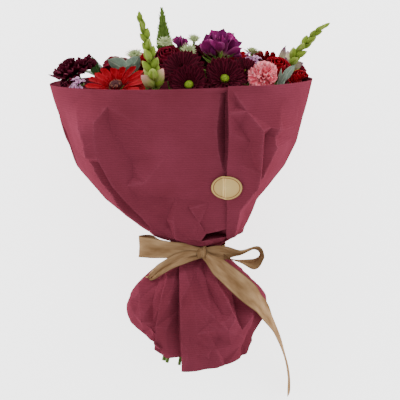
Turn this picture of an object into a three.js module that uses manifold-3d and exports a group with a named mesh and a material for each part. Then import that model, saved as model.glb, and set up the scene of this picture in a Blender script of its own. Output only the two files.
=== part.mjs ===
// Hand-tied mixed bouquet in a paper wrap, lying on its back on a table.
// Millimetres. The bouquet is built upright in its own axes (x right, y along the stems to the
// flowers, z to the front, origin at the tie) and a group then lays it down, with +Z up.
import * as THREE from "three";
import { mergeVertices } from "three/addons/utils/BufferGeometryUtils.js";
import Module from "manifold-3d";

const wasm = await Module();
wasm.setup();

const { cos, sin, acos, PI, min, max, abs, hypot, exp, log, round } = Math;
const vec = (x, y, z) => new THREE.Vector3(x, y, z);
const lerp = THREE.MathUtils.lerp;
const deg = PI / 180;

// Driving dimensions
const lie = { tilt: 10 * deg, lift: 74.8 }; // the wide cup lifts the flower end off the table
const gap = 0.3; // clearance between pieces that touch
const paper = { thick: 0.8, columns: 33, pleats: 16, overlap: 3.2 };
const stemEndY = -137;
const rimY = 199;
const ribbonWidth = 25;
const ribbonThick = 0.9;

// Paper at heights above and below the tie: half width, half depth, sideways shift, pleat depth
const wrapProfile = [
  [-142, 58, 54, 2, 0.6], [-110, 66, 58, -4, 1.2], [-78, 83, 67, -3, 2.5], [-52, 75, 62, -3, 4.5],
  [-30, 50, 46, -2, 5], [-12, 31, 30, 0, 3], [-6, 25, 25, 0, 1.6], [6, 25, 25, 0, 1.6], [12, 38, 36, -3, 2.6],
  [20, 55, 50, -5, 3], [42, 76, 66, -16, 1.6], [58, 89, 76, -23, 0.8], [98, 123, 96, -23, 0],
  [126, 135, 105, -21, 0], [152, 143, 111, -22, 0], [205, 155, 119, -23, 0],
];
// Height of the paper's lower cut edge against the angle round the bouquet, in degrees
const hemLine = [
  [95, -126], [118, -127], [128, -125], [135, -116], [150, -104], [170, -90], [190, -77], [215, -71],
  [270, -70], [320, -71], [340, -77], [360, -86], [372, -118], [385, -130], [405, -132], [425, -138],
  [450, -141], [478, -142],
];

function along(stations, at) {
  let i = 1;
  while (i < stations.length - 1 && at > stations[i][0]) i++;
  const [low, high] = [stations[i - 1], stations[i]];
  const t = min(1, max(0, (at - low[0]) / (high[0] - low[0])));
  return low.slice(1).map((value, k) => lerp(value, high[k + 1], t));
}
const step = (from, to, at) => {
  const t = min(1, max(0, (at - from) / (to - from)));
  return t * t * (3 - 2 * t);
};
const zigzag = (turns) => 4 * abs(turns - Math.floor(turns + 0.5)) - 1;

function seededRandom(seed) {
  let state = seed;
  return () => {
    state = (state * 1664525 + 1013904223) % 4294967296;
    return state / 4294967296;
  };
}

// Solids and meshes
function solidOf(geometry) {
  const bare = new THREE.BufferGeometry().setAttribute("position", geometry.getAttribute("position").clone());
  bare.setIndex(geometry.index);
  const merged = mergeVertices(bare, 1e-4);
  return new wasm.Manifold(
    new wasm.Mesh({
      numProp: 3,
      vertProperties: new Float32Array(merged.attributes.position.array),
      triVerts: new Uint32Array(merged.index.array),
    }),
  );
}
function geometryOf(solid) {
  const mesh = solid.getMesh();
  return new THREE.BufferGeometry()
    .setAttribute("position", new THREE.BufferAttribute(new Float32Array(mesh.vertProperties), 3))
    .setIndex(new THREE.BufferAttribute(new Uint32Array(mesh.triVerts), 1));
}
const fuse = (geometries) => {
  const joined = wasm.Manifold.union(geometries.map(solidOf));
  const bodies = joined.decompose().sort((a, b) => b.volume() - a.volume());
  return geometryOf(bodies[0]);
};
function meshFrom(points, faces) {
  return new THREE.BufferGeometry()
    .setAttribute("position", new THREE.Float32BufferAttribute(points.flatMap((p) => [p.x, p.y, p.z]), 3))
    .setIndex(faces.flat());
}

// A skin through rings of the same number of points, closed at both ends by a point each
function skin(rings, startPoint, endPoint) {
  const n = rings[0].length;
  const points = [...rings.flat(), startPoint, endPoint];
  const [first, last] = [points.length - 2, points.length - 1];
  const faces = [];
  for (let k = 0; k < n; k++) {
    const next = (k + 1) % n;
    faces.push([first, next, k]);
    for (let r = 0; r < rings.length - 1; r++) {
      const [a, b] = [r * n + k, r * n + next];
      faces.push([a, b, b + n], [a, b + n, a + n]);
    }
    faces.push([last, (rings.length - 1) * n + k, (rings.length - 1) * n + next]);
  }
  return meshFrom(points, faces);
}

// Round stalk through points, with a radius at each
function stalk(points, radii, sides = 5) {
  const rings = points.map((point, i) => {
    const before = points[max(0, i - 1)];
    const after = points[min(points.length - 1, i + 1)];
    const way = after.clone().sub(before).normalize();
    const across = vec(0, 0, 1).cross(way).normalize();
    const up = way.clone().cross(across);
    return Array.from({ length: sides }, (_, k) => {
      const turn = (2 * PI * k) / sides;
      return point.clone().addScaledVector(across, radii[i] * cos(turn)).addScaledVector(up, radii[i] * sin(turn));
    });
  });
  return skin(rings, points[0].clone(), points.at(-1).clone());
}

// Leaf or petal with a flat or hollow face and a keel below: it grows along +Y and faces +Z.
// Each station is [share of length, half width, height, hollow].
function blade(length, stations, keel = 1.3) {
  const rings = stations.map(([share, half, height, hollow]) => [
    vec(-half, share * length, height + hollow),
    vec(0, share * length, height + keel * 0.5),
    vec(half, share * length, height + hollow),
    vec(0, share * length, height - keel * 0.5),
  ]);
  const tip = stations.at(-1);
  const start = vec(0, 0, stations[0][2]);
  return skin(rings, start, vec(0, tip[0] * length + tip[1] * 0.9, tip[2] + tip[3] * 0.5));
}

// Ring of overlapping cupped petals round the Y axis: each petal leaves the ring under its neighbour
// and ends over the next one. Each row is [radius, height].
function petalCup(petals, rows, thick, phase, random) {
  const samples = [0, 0.5, 0.96];
  const tops = Array.from({ length: petals }, () => random());
  const ringOf = (radius, height, isRim) => {
    const points = [];
    for (let k = 0; k < petals; k++)
      for (const share of samples) {
        const turn = phase + (2 * PI * (k + share)) / petals;
        const far = radius * (0.93 + 0.14 * share);
        const crown = isRim ? thick * (3 * sin(PI * min(1, share + 0.08)) + 1.6 * tops[k] - 2) : 0;
        points.push(vec(far * sin(turn), height + crown, far * cos(turn)));
      }
    return points;
  };
  const [foot, belly, rim] = rows;
  return skin([
    ringOf(foot[0], foot[1], false), ringOf(belly[0], belly[1], false), ringOf(rim[0], rim[1], true),
    ringOf(rim[0] - thick, rim[1], true),
  ], vec(0, foot[1] - thick, 0), vec(0, foot[1] + thick * 0.8, 0));
}

// Closed slab between two grids of points
function slab(outer, inner, rows, columns) {
  const points = [...outer, ...inner];
  const under = outer.length;
  const faces = [];
  const at = (r, c) => r * columns + c;
  for (let r = 0; r < rows - 1; r++)
    for (let c = 0; c < columns - 1; c++) {
      const [a, b, d, e] = [at(r, c), at(r, c + 1), at(r + 1, c), at(r + 1, c + 1)];
      faces.push([a, e, b], [a, d, e], [a + under, b + under, e + under], [a + under, e + under, d + under]);
    }
  const edge = (a, b) => faces.push([a, b, a + under], [b, b + under, a + under]);
  for (let c = 0; c < columns - 1; c++) {
    edge(at(0, c), at(0, c + 1));
    edge(at(rows - 1, c + 1), at(rows - 1, c));
  }
  for (let r = 0; r < rows - 1; r++) {
    edge(at(r + 1, 0), at(r, 0));
    edge(at(r, columns - 1), at(r + 1, columns - 1));
  }
  return meshFrom(points, faces);
}

// Flower heads, each with its seat on the stem at the origin and its face along +Y

// Petals ringed round a hub: lifted by an angle from flat
function rayRing(count, length, half, rise, hubRadius, height, phase, curl = 0) {
  return Array.from({ length: count }, (_, k) => {
    const petal = blade(length, [[0, half * 0.3, 0, 0], [0.74, half * 0.95, curl, half * 0.2]]);
    petal.rotateX(PI / 2).rotateZ(PI).rotateX(-rise);
    return petal.translate(0, height, hubRadius).rotateY(phase + (2 * PI * k) / count);
  });
}
// Short pointed bracts round a hub
function bractRing(count, length, half, rise, hubRadius, height, phase = 0) {
  return Array.from({ length: count }, (_, k) => {
    const bract = blade(length, [[0.62, half, 0, 0.4]]).rotateX(PI / 2).rotateZ(PI).rotateX(-rise);
    return bract.translate(0, height, hubRadius).rotateY(phase + (2 * PI * k) / count);
  });
}
const ring = (inner, outer, low, high, sides) =>
  new THREE.LatheGeometry([[inner, low], [outer, low], [outer, high], [inner, high], [inner, low]]
    .map(([r, h]) => new THREE.Vector2(r, h)), sides);

function mumHead(size) {
  return fuse([
    ring(3, 8.5, 0, 4.2, 7),
    ...rayRing(10, size - 6, 4.2, 0.12, 6, 2, 0, 2),
    ...bractRing(7, size - 9, 4.4, 0.62, 5, 3.2, 0.24),
  ]);
}
function gerberaHead(size) {
  return fuse([
    ring(3, 12, 0, 4, 9),
    ...rayRing(14, size - 9, 5, 0.1, 9, 1.6, 0, 2),
    ...bractRing(9, size * 0.42, 3, 0.5, 8.5, 3, 0.15),
  ]);
}
function roseHead(size, seed) {
  const random = seededRandom(seed);
  const cup = (petals, foot, belly, rim, phase) =>
    petalCup(petals, [foot, belly, rim].map(([r, h]) => [size * r, size * h]), 1.3, phase, random);
  return fuse([
    new THREE.ConeGeometry(size * 0.25, size * 1.14, 5).rotateX(PI).translate(0, size * 0.57, 0),
    cup(2, [0.16, 0.3], [0.4, 0.72], [0.3, 1.16], 0.4),
    cup(3, [0.2, 0.2], [0.66, 0.56], [0.6, 1.08], 1.3),
    cup(4, [0.24, 0.1], [0.92, 0.42], [1.06, 0.9], 0.1),
  ]);
}
function carnationHead(size, seed) {
  const random = seededRandom(seed);
  const frill = (radius, height, lift, points) => {
    const rim = Array.from({ length: points }, (_, k) => {
      const turn = (2 * PI * k) / points;
      const far = radius * (k % 2 ? 1 : 0.86) * (0.94 + 0.12 * random());
      return vec(far * sin(turn), height + lift + (k % 2 ? -1 : 1) * size * 0.1 + 2 * random(), far * cos(turn));
    });
    return skin([rim], vec(0, height - 2.5, 0), vec(0, height + 2, 0));
  };
  return fuse([
    new THREE.CylinderGeometry(size * 0.3, size * 0.2, size * 0.62, 7).translate(0, size * 0.31, 0),
    frill(size, size * 0.5, size * 0.02, 18),
    frill(size * 0.88, size * 0.68, size * 0.14, 16),
    frill(size * 0.6, size * 0.8, size * 0.3, 12),
  ]);
}
// One open trumpet floret of three broad and three narrow petals
function trumpet(size) {
  const petals = [];
  for (let k = 0; k < 6; k++) {
    const broad = k % 2 === 0;
    const petal = blade(size, [[0.66, broad ? size * 0.3 : size * 0.17, 0, 1.6]], 1.4);
    petals.push(petal.rotateY(PI).rotateX(broad ? 0.6 : 0.42).rotateY((k * PI) / 3));
  }
  return petals;
}
function alstroHead(size, florets) {
  const parts = [stalk([vec(0, 0, 0), vec(0, size * 0.3, 0)], [2.2, 3], 4)];
  florets.forEach(([turn, lean, reach, scale]) => {
    const end = vec(0, size * reach, 0);
    const place = (g) => g.rotateX(lean).rotateY(turn).translate(0, size * 0.2, 0);
    parts.push(place(stalk([vec(0, 0, 0), end], [1.3, 1.8], 4)));
    for (const petal of trumpet(size * scale))
      parts.push(place(petal.rotateY(turn).translate(0, size * reach - 2, 0)));
  });
  return fuse(parts);
}
function astrantiaHead(size) {
  return fuse([
    new THREE.SphereGeometry(size * 0.42, 6, 3).scale(1, 0.8, 1).translate(0, size * 0.34, 0),
    ...bractRing(9, size * 0.8, size * 0.17, 0.32, size * 0.26, size * 0.16),
  ]);
}
// Leafy spike of buds along a line that bends by sway
function budSpike(length, count, bud, sway, seed) {
  const random = seededRandom(seed);
  const spine = (t) => vec(sway[0] * t * t, length * t, sway[1] * t * t);
  const stops = [0, 0.5, 0.97];
  const parts = [stalk(stops.map(spine), [2, 1.7, 0.8], 4)];
  for (let k = 0; k < count; k++) {
    const t = 0.04 + (0.9 * k) / (count - 1);
    const size = bud * lerp(1, 0.55, t);
    const turn = k * 2.4 + 0.3 * random();
    const body = blade(size, [[0.5, size * 0.26, 0, 0.2]], size * 0.48);
    parts.push(body.rotateX(lerp(0.62, 0.2, t)).rotateY(turn)
      .translate(...spine(t).toArray()));
  }
  return fuse(parts);
}
// Pointed cone of close little spines
function needleSpike(length, girth, rows) {
  const parts = [new THREE.ConeGeometry(girth * 0.72, length, 5, 1).translate(0, length / 2, 0)];
  for (let r = 0; r < rows; r++)
    for (let k = 0; k < 4; k++) {
      const t = r / rows;
      const spine = blade(girth * 1.2, [[0.4, 1.4, 0, 0]], 1.8);
      parts.push(spine.rotateX(0.42).translate(0, length * (0.02 + 0.8 * t), girth * 0.5 * (1 - t * 0.86))
        .rotateY(((k + (r % 2) * 0.5) * PI) / 2));
    }
  return fuse(parts);
}
// Sprig with paired leaves
function leafSprig(length, leaves) {
  const parts = [stalk([vec(0, 0, 0), vec(0, length, 0)], [1.6, 1], 4)];
  for (const [at, turn, lean, size, half, twist] of leaves) {
    const leaf = blade(size, [[0, 0.8, 0, 0], [0.3, half * 0.9, 0, half * 0.16], [0.7, half * 0.8, -1, half * 0.14]]);
    parts.push(leaf.rotateY(PI + twist).rotateX(lean).rotateY(turn).translate(0, length * at, 0));
  }
  return fuse(parts);
}
// Spray of small five-petalled flowers on thin branches
function starSpray(reach, flowers, seed) {
  const random = seededRandom(seed);
  const parts = [stalk([vec(0, 0, 0), vec(0, reach * 0.3, 0)], [1.5, 1.3], 4)];
  for (let k = 0; k < flowers; k++) {
    const turn = k * 2.4;
    const lean = 0.16 + 0.62 * (k / flowers);
    const far = reach * (0.78 + 0.3 * random());
    const star = Array.from({ length: 10 }, (_, p) => {
      const r = p % 2 ? 5.2 : 2.6;
      return vec(r * sin((p * PI) / 5), far + (p % 2 ? 1.2 : 0.4), r * cos((p * PI) / 5));
    });
    const place = (g) => g.rotateX(lean).rotateY(turn).translate(0, reach * 0.12, 0);
    parts.push(place(stalk([vec(0, 0, 0), vec(0, far, 0)], [1, 0.9], 3)));
    parts.push(place(skin([star], vec(0, far - 1.8, 0), vec(0, far + 1.2, 0))));
  }
  return fuse(parts);
}

// Where each flower sits: head point, facing direction, size and the half angle of its own sector.
// A sprig's leaves are [share of stem, turn, lean, length, half width, twist], an alstroemeria's
// florets are [turn, lean, reach, scale].
const eyeRadius = 5.6;
const flowers = [
  { name: "mum_1", kind: "mum", at: [-19, 212, 46], face: [-0.08, 0.68, 0.73], size: 28, room: 5.2 },
  { name: "mum_2", kind: "mum", at: [-12, 198, 77], face: [-0.05, 0.55, 0.83], size: 28, room: 5.6 },
  { name: "mum_3", kind: "mum", at: [27, 204, 68], face: [0.12, 0.58, 0.8], size: 29, room: 5.6 },
  { name: "mum_4", kind: "mum", at: [49, 208, 36], face: [0.28, 0.78, 0.55], size: 26, room: 4.8 },
  { name: "mum_5", kind: "mum", at: [-32, 214, -66], face: [-0.2, 0.8, -0.5], size: 32, room: 5.8 },
  { name: "mum_6", kind: "mum", at: [26, 214, -78], face: [0.1, 0.76, -0.6], size: 32, room: 5.8 },
  { name: "gerbera_1", kind: "gerbera", at: [-94, 194, 60], face: [-0.12, 0.84, 0.53], size: 39, room: 8 },
  { name: "gerbera_2", kind: "gerbera", at: [84, 208, -62], face: [0.42, 0.8, -0.42], size: 42, room: 7.8 },
  { name: "dark_rose_1", kind: "rose", at: [-36, 216, -2], face: [-0.12, 0.8, 0.58], size: 22, room: 4.7 },
  { name: "dark_rose_2", kind: "rose", at: [-98, 196, -52], face: [-0.4, 0.85, -0.3], size: 27, room: 5 },
  { name: "dark_rose_3", kind: "rose", at: [109, 194, -28], face: [0.46, 0.88, -0.1], size: 23, room: 4.4 },
  { name: "red_rose_1", kind: "rose", at: [86, 204, 14], face: [0.16, 0.82, 0.55], size: 23, room: 5 },
  { name: "red_rose_2", kind: "rose", at: [111, 194, 24], face: [0.36, 0.8, 0.48], size: 19, room: 4 },
  { name: "red_rose_3", kind: "rose", at: [46, 206, -30], face: [0.2, 0.95, -0.2], size: 26, room: 4.7 },
  { name: "red_rose_4", kind: "rose", at: [-67, 202, -26], face: [-0.25, 0.95, -0.1], size: 26, room: 4.6 },
  { name: "dark_carnation_1", kind: "carnation", at: [-140, 190, 4], face: [-0.5, 0.85, 0.12], size: 30, room: 6.4 },
  { name: "dark_carnation_2", kind: "carnation", at: [-2, 206, -40], face: [0, 0.95, -0.3], size: 30, room: 5.2 },
  { name: "pink_carnation_1", kind: "carnation", at: [69, 197, 52], face: [0.22, 0.74, 0.62], size: 23, room: 4.8 },
  { name: "pink_carnation_2", kind: "carnation", at: [-70, 196, -84], face: [-0.3, 0.78, -0.5], size: 29, room: 6 },
  { name: "alstroemeria_1", kind: "alstroemeria", at: [21, 212, 3], face: [0.02, 0.97, 0.22], size: 29, room: 7.4,
    florets: [[4.5, 0.5, 0.5, 1.05], [0.2, 0.2, 0.62, 1.1], [1.5, 0.5, 0.52, 1.05], [1.9, 0.95, 0.6, 0.7]] },
  { name: "alstroemeria_2", kind: "alstroemeria", at: [-23, 226, -22], face: [0, 0.98, 0.15], size: 17, room: 2.8,
    florets: [[4.4, 0.35, 0.7, 0.8], [1.2, 0.4, 0.6, 0.8]] },
  { name: "astrantia_1", kind: "astrantia", at: [-76, 226, -3], face: [-0.1, 0.9, 0.42], size: 13, room: 2.6 },
  { name: "astrantia_2", kind: "astrantia", at: [-40, 240, -12], face: [-0.05, 0.88, 0.48], size: 13, room: 2.7 },
  { name: "astrantia_3", kind: "astrantia", at: [-13, 232, 12], face: [0, 0.78, 0.62], size: 13.5, room: 2.8 },
  { name: "astrantia_4", kind: "astrantia", at: [-7, 244, -5], face: [0.05, 0.9, 0.42], size: 12, room: 2.4 },
  { name: "astrantia_5", kind: "astrantia", at: [62, 226, -52], face: [0.2, 0.9, -0.3], size: 13, room: 2.6 },
  { name: "snapdragon_1", kind: "spike", at: [-50, 194, 86], face: [-0.06, 0.99, 0.04], size: 83, room: 3.4,
    sway: [-11, -3], count: 16, bud: 18, seed: 5 },
  { name: "snapdragon_2", kind: "spike", at: [99, 206, -14], face: [0.48, 0.88, 0.04], size: 72, room: 2.8,
    sway: [14, 4], count: 14, bud: 17, seed: 9 },
  { name: "snapdragon_3", kind: "spike", at: [93, 211, -2], face: [0.1, 0.99, 0.04], size: 28, room: 2,
    sway: [3, 2], count: 6, bud: 13, seed: 12 },
  { name: "veronica_1", kind: "needles", at: [-42, 231, -37], face: [-0.07, 1, -0.02], size: 52, room: 3 },
  { name: "eucalyptus_1", kind: "sprig", at: [-81, 195, 24], face: [-0.12, 0.98, 0.1], size: 24, room: 3.8,
    leaves: [[0.95, 4.8, 0.85, 29, 10, 1.1], [0.9, 1.4, 0.7, 26, 9.5, -1.1], [0.6, 0.5, 0.6, 26, 9, 0], [0.7, 3.4, 0.7, 26, 9, 0]] },
  { name: "eucalyptus_2", kind: "sprig", at: [89, 186, 55], face: [0.12, 0.98, 0.1], size: 15, room: 3,
    leaves: [[1, 4.8, 0.6, 27, 5.5, 1.3], [0.95, 1.5, 0.5, 28, 5.5, -1.3], [0.7, 0.4, 0.4, 22, 6, 0], [0.5, 3, 0.7, 24, 6, 0]] },
  { name: "eucalyptus_3", kind: "sprig", at: [-4, 192, -96], face: [0, 0.95, -0.3], size: 18, room: 3,
    leaves: [[0.9, 4.6, 0.9, 30, 9, 0], [0.9, 1.6, 0.9, 30, 9, 0], [1, 3.1, 0.4, 26, 8, 0]] },
  { name: "foliage_1", kind: "sprig", at: [-112, 180, -54], face: [-0.4, 0.88, -0.2], size: 20, room: 3,
    leaves: [[0.9, 4.3, 0.8, 36, 10, 0], [0.9, 1.2, 0.9, 34, 10, 0], [0.7, 2.8, 0.8, 34, 10, 0], [1, 0.2, 0.3, 30, 9, 0]] },
  { name: "foliage_2", kind: "sprig", at: [60, 184, -84], face: [0.3, 0.9, -0.25], size: 20, room: 3,
    leaves: [[0.9, 4.6, 0.8, 34, 10, 0], [0.9, 1.6, 0.9, 34, 10, 0], [0.7, 3, 0.8, 32, 10, 0], [1, 0.1, 0.3, 30, 9, 0]] },
  { name: "waxflower_1", kind: "spray", at: [57, 202, 7], face: [0.1, 0.97, 0.2], size: 26, room: 3.2, count: 5, seed: 3 },
  { name: "waxflower_2", kind: "spray", at: [-134, 182, 42], face: [-0.35, 0.85, 0.3], size: 20, room: 3, count: 5, seed: 8 },
];
const headMakers = {
  mum: (f) => mumHead(f.size),
  gerbera: (f) => gerberaHead(f.size),
  rose: (f) => roseHead(f.size, round(f.at[0]) + 400),
  carnation: (f) => carnationHead(f.size, round(f.at[0]) + 900),
  alstroemeria: (f) => alstroHead(f.size, f.florets),
  astrantia: (f) => astrantiaHead(f.size),
  spike: (f) => budSpike(f.size, f.count, f.bud, f.sway, f.seed),
  needles: (f) => needleSpike(f.size, 9.5, 7),
  sprig: (f) => leafSprig(f.size, f.leaves),
  spray: (f) => starSpray(f.size, f.count, f.seed),
};
const stemRadius = {
  mum: 1.9, gerbera: 2.4, rose: 2.2, carnation: 2, alstroemeria: 2, astrantia: 1.5, spike: 2.1,
  needles: 1.9, sprig: 1.8, spray: 1.6,
};

// Every flower keeps to its own sector of directions from one point just below the tie
const apex = vec(0, -17, 0);
for (const f of flowers) {
  f.seat = vec(...f.at);
  f.facing = vec(...f.face).normalize();
  f.way = f.seat.clone().addScaledVector(f.facing, f.kind === "spike" ? 8 : f.size * 0.4).sub(apex).normalize();
}
function sectorPlanes(flower) {
  return flowers.filter((other) => other !== flower).map((other) => {
    const between = flower.way.angleTo(other.way);
    const here = (between * flower.room) / (flower.room + other.room);
    const side = other.way.clone().addScaledVector(flower.way, -cos(between)).normalize();
    return { between, normal: side.multiplyScalar(cos(here)).addScaledVector(flower.way, -sin(here)) };
  }).filter((plane) => plane.between < 0.75);
}
// Presses a distance past a limit back inside it, smoothly, so that nothing folds over
const press = (past, soft) => {
  const inside = -past / soft;
  return -soft * (inside > 30 ? inside : log(1 + exp(inside)));
};

// Table height below the bouquet's own axes
const tableZ = (y) => (-lie.lift - y * sin(lie.tilt)) / cos(lie.tilt);

// Keeps a point of a flower in its sector, inside the paper and above the table
function settle(point, planes, above) {
  const from = point.clone().sub(apex);
  for (const { normal } of planes) {
    const past = from.dot(normal) + gap;
    if (past > -14) from.addScaledVector(normal, press(past, 3) - past);
  }
  point.copy(from).add(apex);
  const [halfWidth, halfDepth, shift] = along(wrapProfile, min(point.y, rimY));
  const far = hypot((point.x - shift) / halfWidth, point.z / halfDepth);
  const limit = 1 - above / halfDepth + 0.5 * step(rimY + 3, rimY + 16, point.y);
  if (far > limit * 0.9) {
    const kept = limit + press(far - limit, 0.03);
    point.x = shift + ((point.x - shift) * kept) / far;
    point.z *= kept / far;
  }
  const floor = tableZ(point.y) + 3;
  point.z = floor - press(floor - point.z, 3);
  return point;
}

function placeHead(flower) {
  const geometry = headMakers[flower.kind](flower);
  const upright = new THREE.Quaternion().setFromUnitVectors(vec(0, 1, 0), flower.facing);
  geometry.applyQuaternion(upright).translate(...flower.at);
  const planes = sectorPlanes(flower);
  const position = geometry.getAttribute("position");
  for (let i = 0; i < position.count; i++) {
    const point = settle(new THREE.Vector3().fromBufferAttribute(position, i), planes, 9);
    position.setXYZ(i, point.x, point.y, point.z);
  }
  return geometry;
}

// Stems: straight from the tie up to each head, and fanned out and turned below it
const spiral = { turn: 50 * deg, atTie: 16, below: 60 };
function stemOf(flower) {
  const radius = stemRadius[flower.kind];
  const planes = sectorPlanes(flower);
  const end = settle(flower.seat.clone(), planes, 9).addScaledVector(flower.facing, -gap);
  const neck = settle(end.clone().addScaledVector(flower.facing, -16), planes, 12);
  const slope = neck.clone().sub(apex).divideScalar(neck.y - apex.y);
  const tie = vec(slope.x * spiral.atTie, 0, slope.z * spiral.atTie);
  const foot = vec(
    spiral.below * (slope.x * cos(spiral.turn) - slope.z * sin(spiral.turn)),
    stemEndY + 5 * sin(7 * slope.x + 11 * slope.z),
    spiral.below * (slope.x * sin(spiral.turn) + slope.z * cos(spiral.turn)),
  );
  return stalk([foot, tie, neck, end], [radius, radius, radius * 0.9, radius * 0.9], radius < 2 ? 3 : 4);
}
function eyeOf(flower) {
  const upright = new THREE.Quaternion().setFromUnitVectors(vec(0, 1, 0), flower.facing);
  const neck = new THREE.CylinderGeometry(2.4, 1.5, 8, 4).translate(0, 2.2, 0);
  const eye = new THREE.SphereGeometry(eyeRadius, 7, 3).scale(1, 0.4, 1).translate(0, 4.5 + gap + 1.9, 0);
  return [neck, eye].map((g) => g.applyQuaternion(upright).translate(...flower.at));
}
function stemBunch() {
  const packed = new THREE.CylinderGeometry(11.5, 11.5, 8, 7);
  const parts = [packed, ...flowers.map(stemOf)];
  for (const flower of flowers) if (flower.kind === "mum") parts.push(...eyeOf(flower));
  return fuse(parts);
}
function gerberaCentre(flower) {
  const upright = new THREE.Quaternion().setFromUnitVectors(vec(0, 1, 0), flower.facing);
  const florets = [new THREE.SphereGeometry(8.2, 8, 4).scale(1, 0.32, 1).translate(0, 6.9, 0)];
  for (let k = 0; k < 8; k++)
    florets.push(new THREE.ConeGeometry(1.5, 4, 3).translate(0, 8.2, 5.6).rotateY((k * PI) / 4));
  return fuse(florets).applyQuaternion(upright).translate(...flower.at);
}

// Creases of the cup: angle round it, half width of the fold in degrees, height span, and how far
// the paper stands out (or in, when negative) along it
const creases = [
  { angle: 140, wide: 14, low: 30, high: 176, out: 5 }, { angle: 126, wide: 13, low: 96, high: 168, out: -6 },
  { angle: 46, wide: 13, low: 70, high: 172, out: 4 }, { angle: 31, wide: 13, low: 108, high: 170, out: -6 },
  { angle: 168, wide: 14, low: 90, high: 150, out: -4 }, { angle: 205, wide: 16, low: 40, high: 150, out: 4 },
  { angle: 250, wide: 18, low: 60, high: 140, out: -4 }, { angle: 318, wide: 16, low: 50, high: 150, out: -4 },
  { angle: 345, wide: 15, low: 50, high: 160, out: 4 }, { angle: 92, wide: 24, low: 46, high: 84, out: 3 },
];
function creased(angle, y) {
  let out = 0;
  for (const crease of creases) {
    const away = abs(((angle - crease.angle + 540) % 360) - 180) / crease.wide;
    const middle = (crease.low + crease.high) / 2;
    const reach = abs(y - middle) / (crease.high - middle);
    if (away < 1 && reach < 1) out += crease.out * (1 - away) * min(1, 2 * (1 - reach));
  }
  return out;
}

// Paper sheet: one piece from the rim, through the tie, to the hem, lapped over itself in front
const lap = { overlap: 25, cupEdgeX: 29, skirtEdgeX: -24, crossing: 16 };
function lapEdge(y) {
  const edgeAngle = (x) => {
    const [halfWidth, , shift] = along(wrapProfile, y);
    return acos(min(0.75, max(-0.6, (x - shift) / halfWidth))) / deg;
  };
  return 360 + lerp(edgeAngle(lap.skirtEdgeX), edgeAngle(lap.cupEdgeX), step(-lap.crossing, lap.crossing, y));
}
const paperAngle = (share, y) => lapEdge(y) - (1 - share) * (360 + lap.overlap);
function paperPoint(share, y) {
  const angle = paperAngle(share, y);
  const turn = angle * deg;
  const [halfWidth, halfDepth, shift, pleatDepth] = along(wrapProfile, y);
  const [c, s] = [cos(turn), sin(turn)];
  const folded = step(184, 142, y) * step(6, 40, y);
  const flatFront = 0.9 * min(1, (1 - abs(c)) / 0.24);
  const front = s > 0 ? lerp(s, flatFront, folded) : s;
  const wave = step(-20, -64, y) * 4.5 * sin(7 * turn + 0.6);
  const under = -paper.overlap * (1 - step(4, 28, angle - lapEdge(y) + 360));
  const lifted = 2 * step(20, 90, y) * (1 - step(0, 28, lapEdge(y) - angle));
  const push = pleatDepth * zigzag(share * paper.pleats) + creased(angle, y) + wave + under + lifted;
  return vec(c * (halfWidth + push) + shift, y, front * halfDepth + s * push);
}
const paperHemShares = [1, 0.78, 0.56, 0.36, 0.2];
const paperCupHeights = [-7, 0, 7, 20, 42, 70, 98, 126, 155];
function paperWrap() {
  const rows = paperHemShares.length + paperCupHeights.length + 1;
  const heightAt = (row, share) => {
    if (row < paperHemShares.length) {
      return along(hemLine, paperAngle(share, -120))[0] * paperHemShares[row];
    }
    const up = row - paperHemShares.length;
    if (up < paperCupHeights.length) return paperCupHeights[up];
    const turn = paperAngle(share, rimY) * deg;
    return rimY + 3 * cos(turn) + 2 * step(0.93, 1, share);
  };
  const grid = [];
  for (let row = 0; row < rows; row++)
    for (let c = 0; c < paper.columns; c++) {
      const share = c / (paper.columns - 1);
      grid.push(paperPoint(share, heightAt(row, share)));
    }
  const at = (row, c) => grid[min(rows - 1, max(0, row)) * paper.columns + min(paper.columns - 1, max(0, c))];
  const outer = [];
  const inner = [];
  for (let row = 0; row < rows; row++)
    for (let c = 0; c < paper.columns; c++) {
      const round1 = at(row, c + 1).clone().sub(at(row, c - 1));
      const up = at(row + 1, c).clone().sub(at(row - 1, c));
      const normal = up.cross(round1).normalize();
      outer.push(aboveTable(at(row, c).clone().addScaledVector(normal, paper.thick / 2), 0));
      inner.push(aboveTable(at(row, c).clone().addScaledVector(normal, -paper.thick / 2), paper.thick));
    }
  return slab(outer, inner, rows, paper.columns);
}
function aboveTable(point, height) {
  const above = point.z * cos(lie.tilt) + point.y * sin(lie.tilt) + lie.lift - height;
  if (above < 0) {
    point.z -= above * cos(lie.tilt);
    point.y -= above * sin(lie.tilt);
  }
  return point;
}

// Ribbon: a strip along points, with the direction of its width at each
function strip(stations, width = ribbonWidth, thick = ribbonThick) {
  const path = new THREE.CatmullRomCurve3(stations.map((s) => vec(...s.at)));
  const steps = (stations.length - 1) * 2;
  const rings = [];
  for (let i = 0; i <= steps; i++) {
    const t = i / steps;
    const place = t * (stations.length - 1);
    const k = min(stations.length - 2, Math.floor(place));
    const across = vec(...stations[k].across).lerp(vec(...stations[k + 1].across), place - k).normalize();
    const half = (lerp(stations[k].wide ?? 1, stations[k + 1].wide ?? 1, place - k) * width) / 2;
    const way = path.getTangent(t);
    across.addScaledVector(way, -across.dot(way)).normalize();
    const face = way.clone().cross(across).normalize();
    const centre = path.getPoint(t);
    const corner = (a, b) => centre.clone().addScaledVector(across, a * half).addScaledVector(face, (b * thick) / 2);
    rings.push([corner(-1, -1), corner(1, -1), corner(1, 1), corner(-1, 1)]);
  }
  return skin(rings, path.getPoint(0), path.getPoint(1));
}
const knotAt = [2, 1, 33.9];
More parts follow.
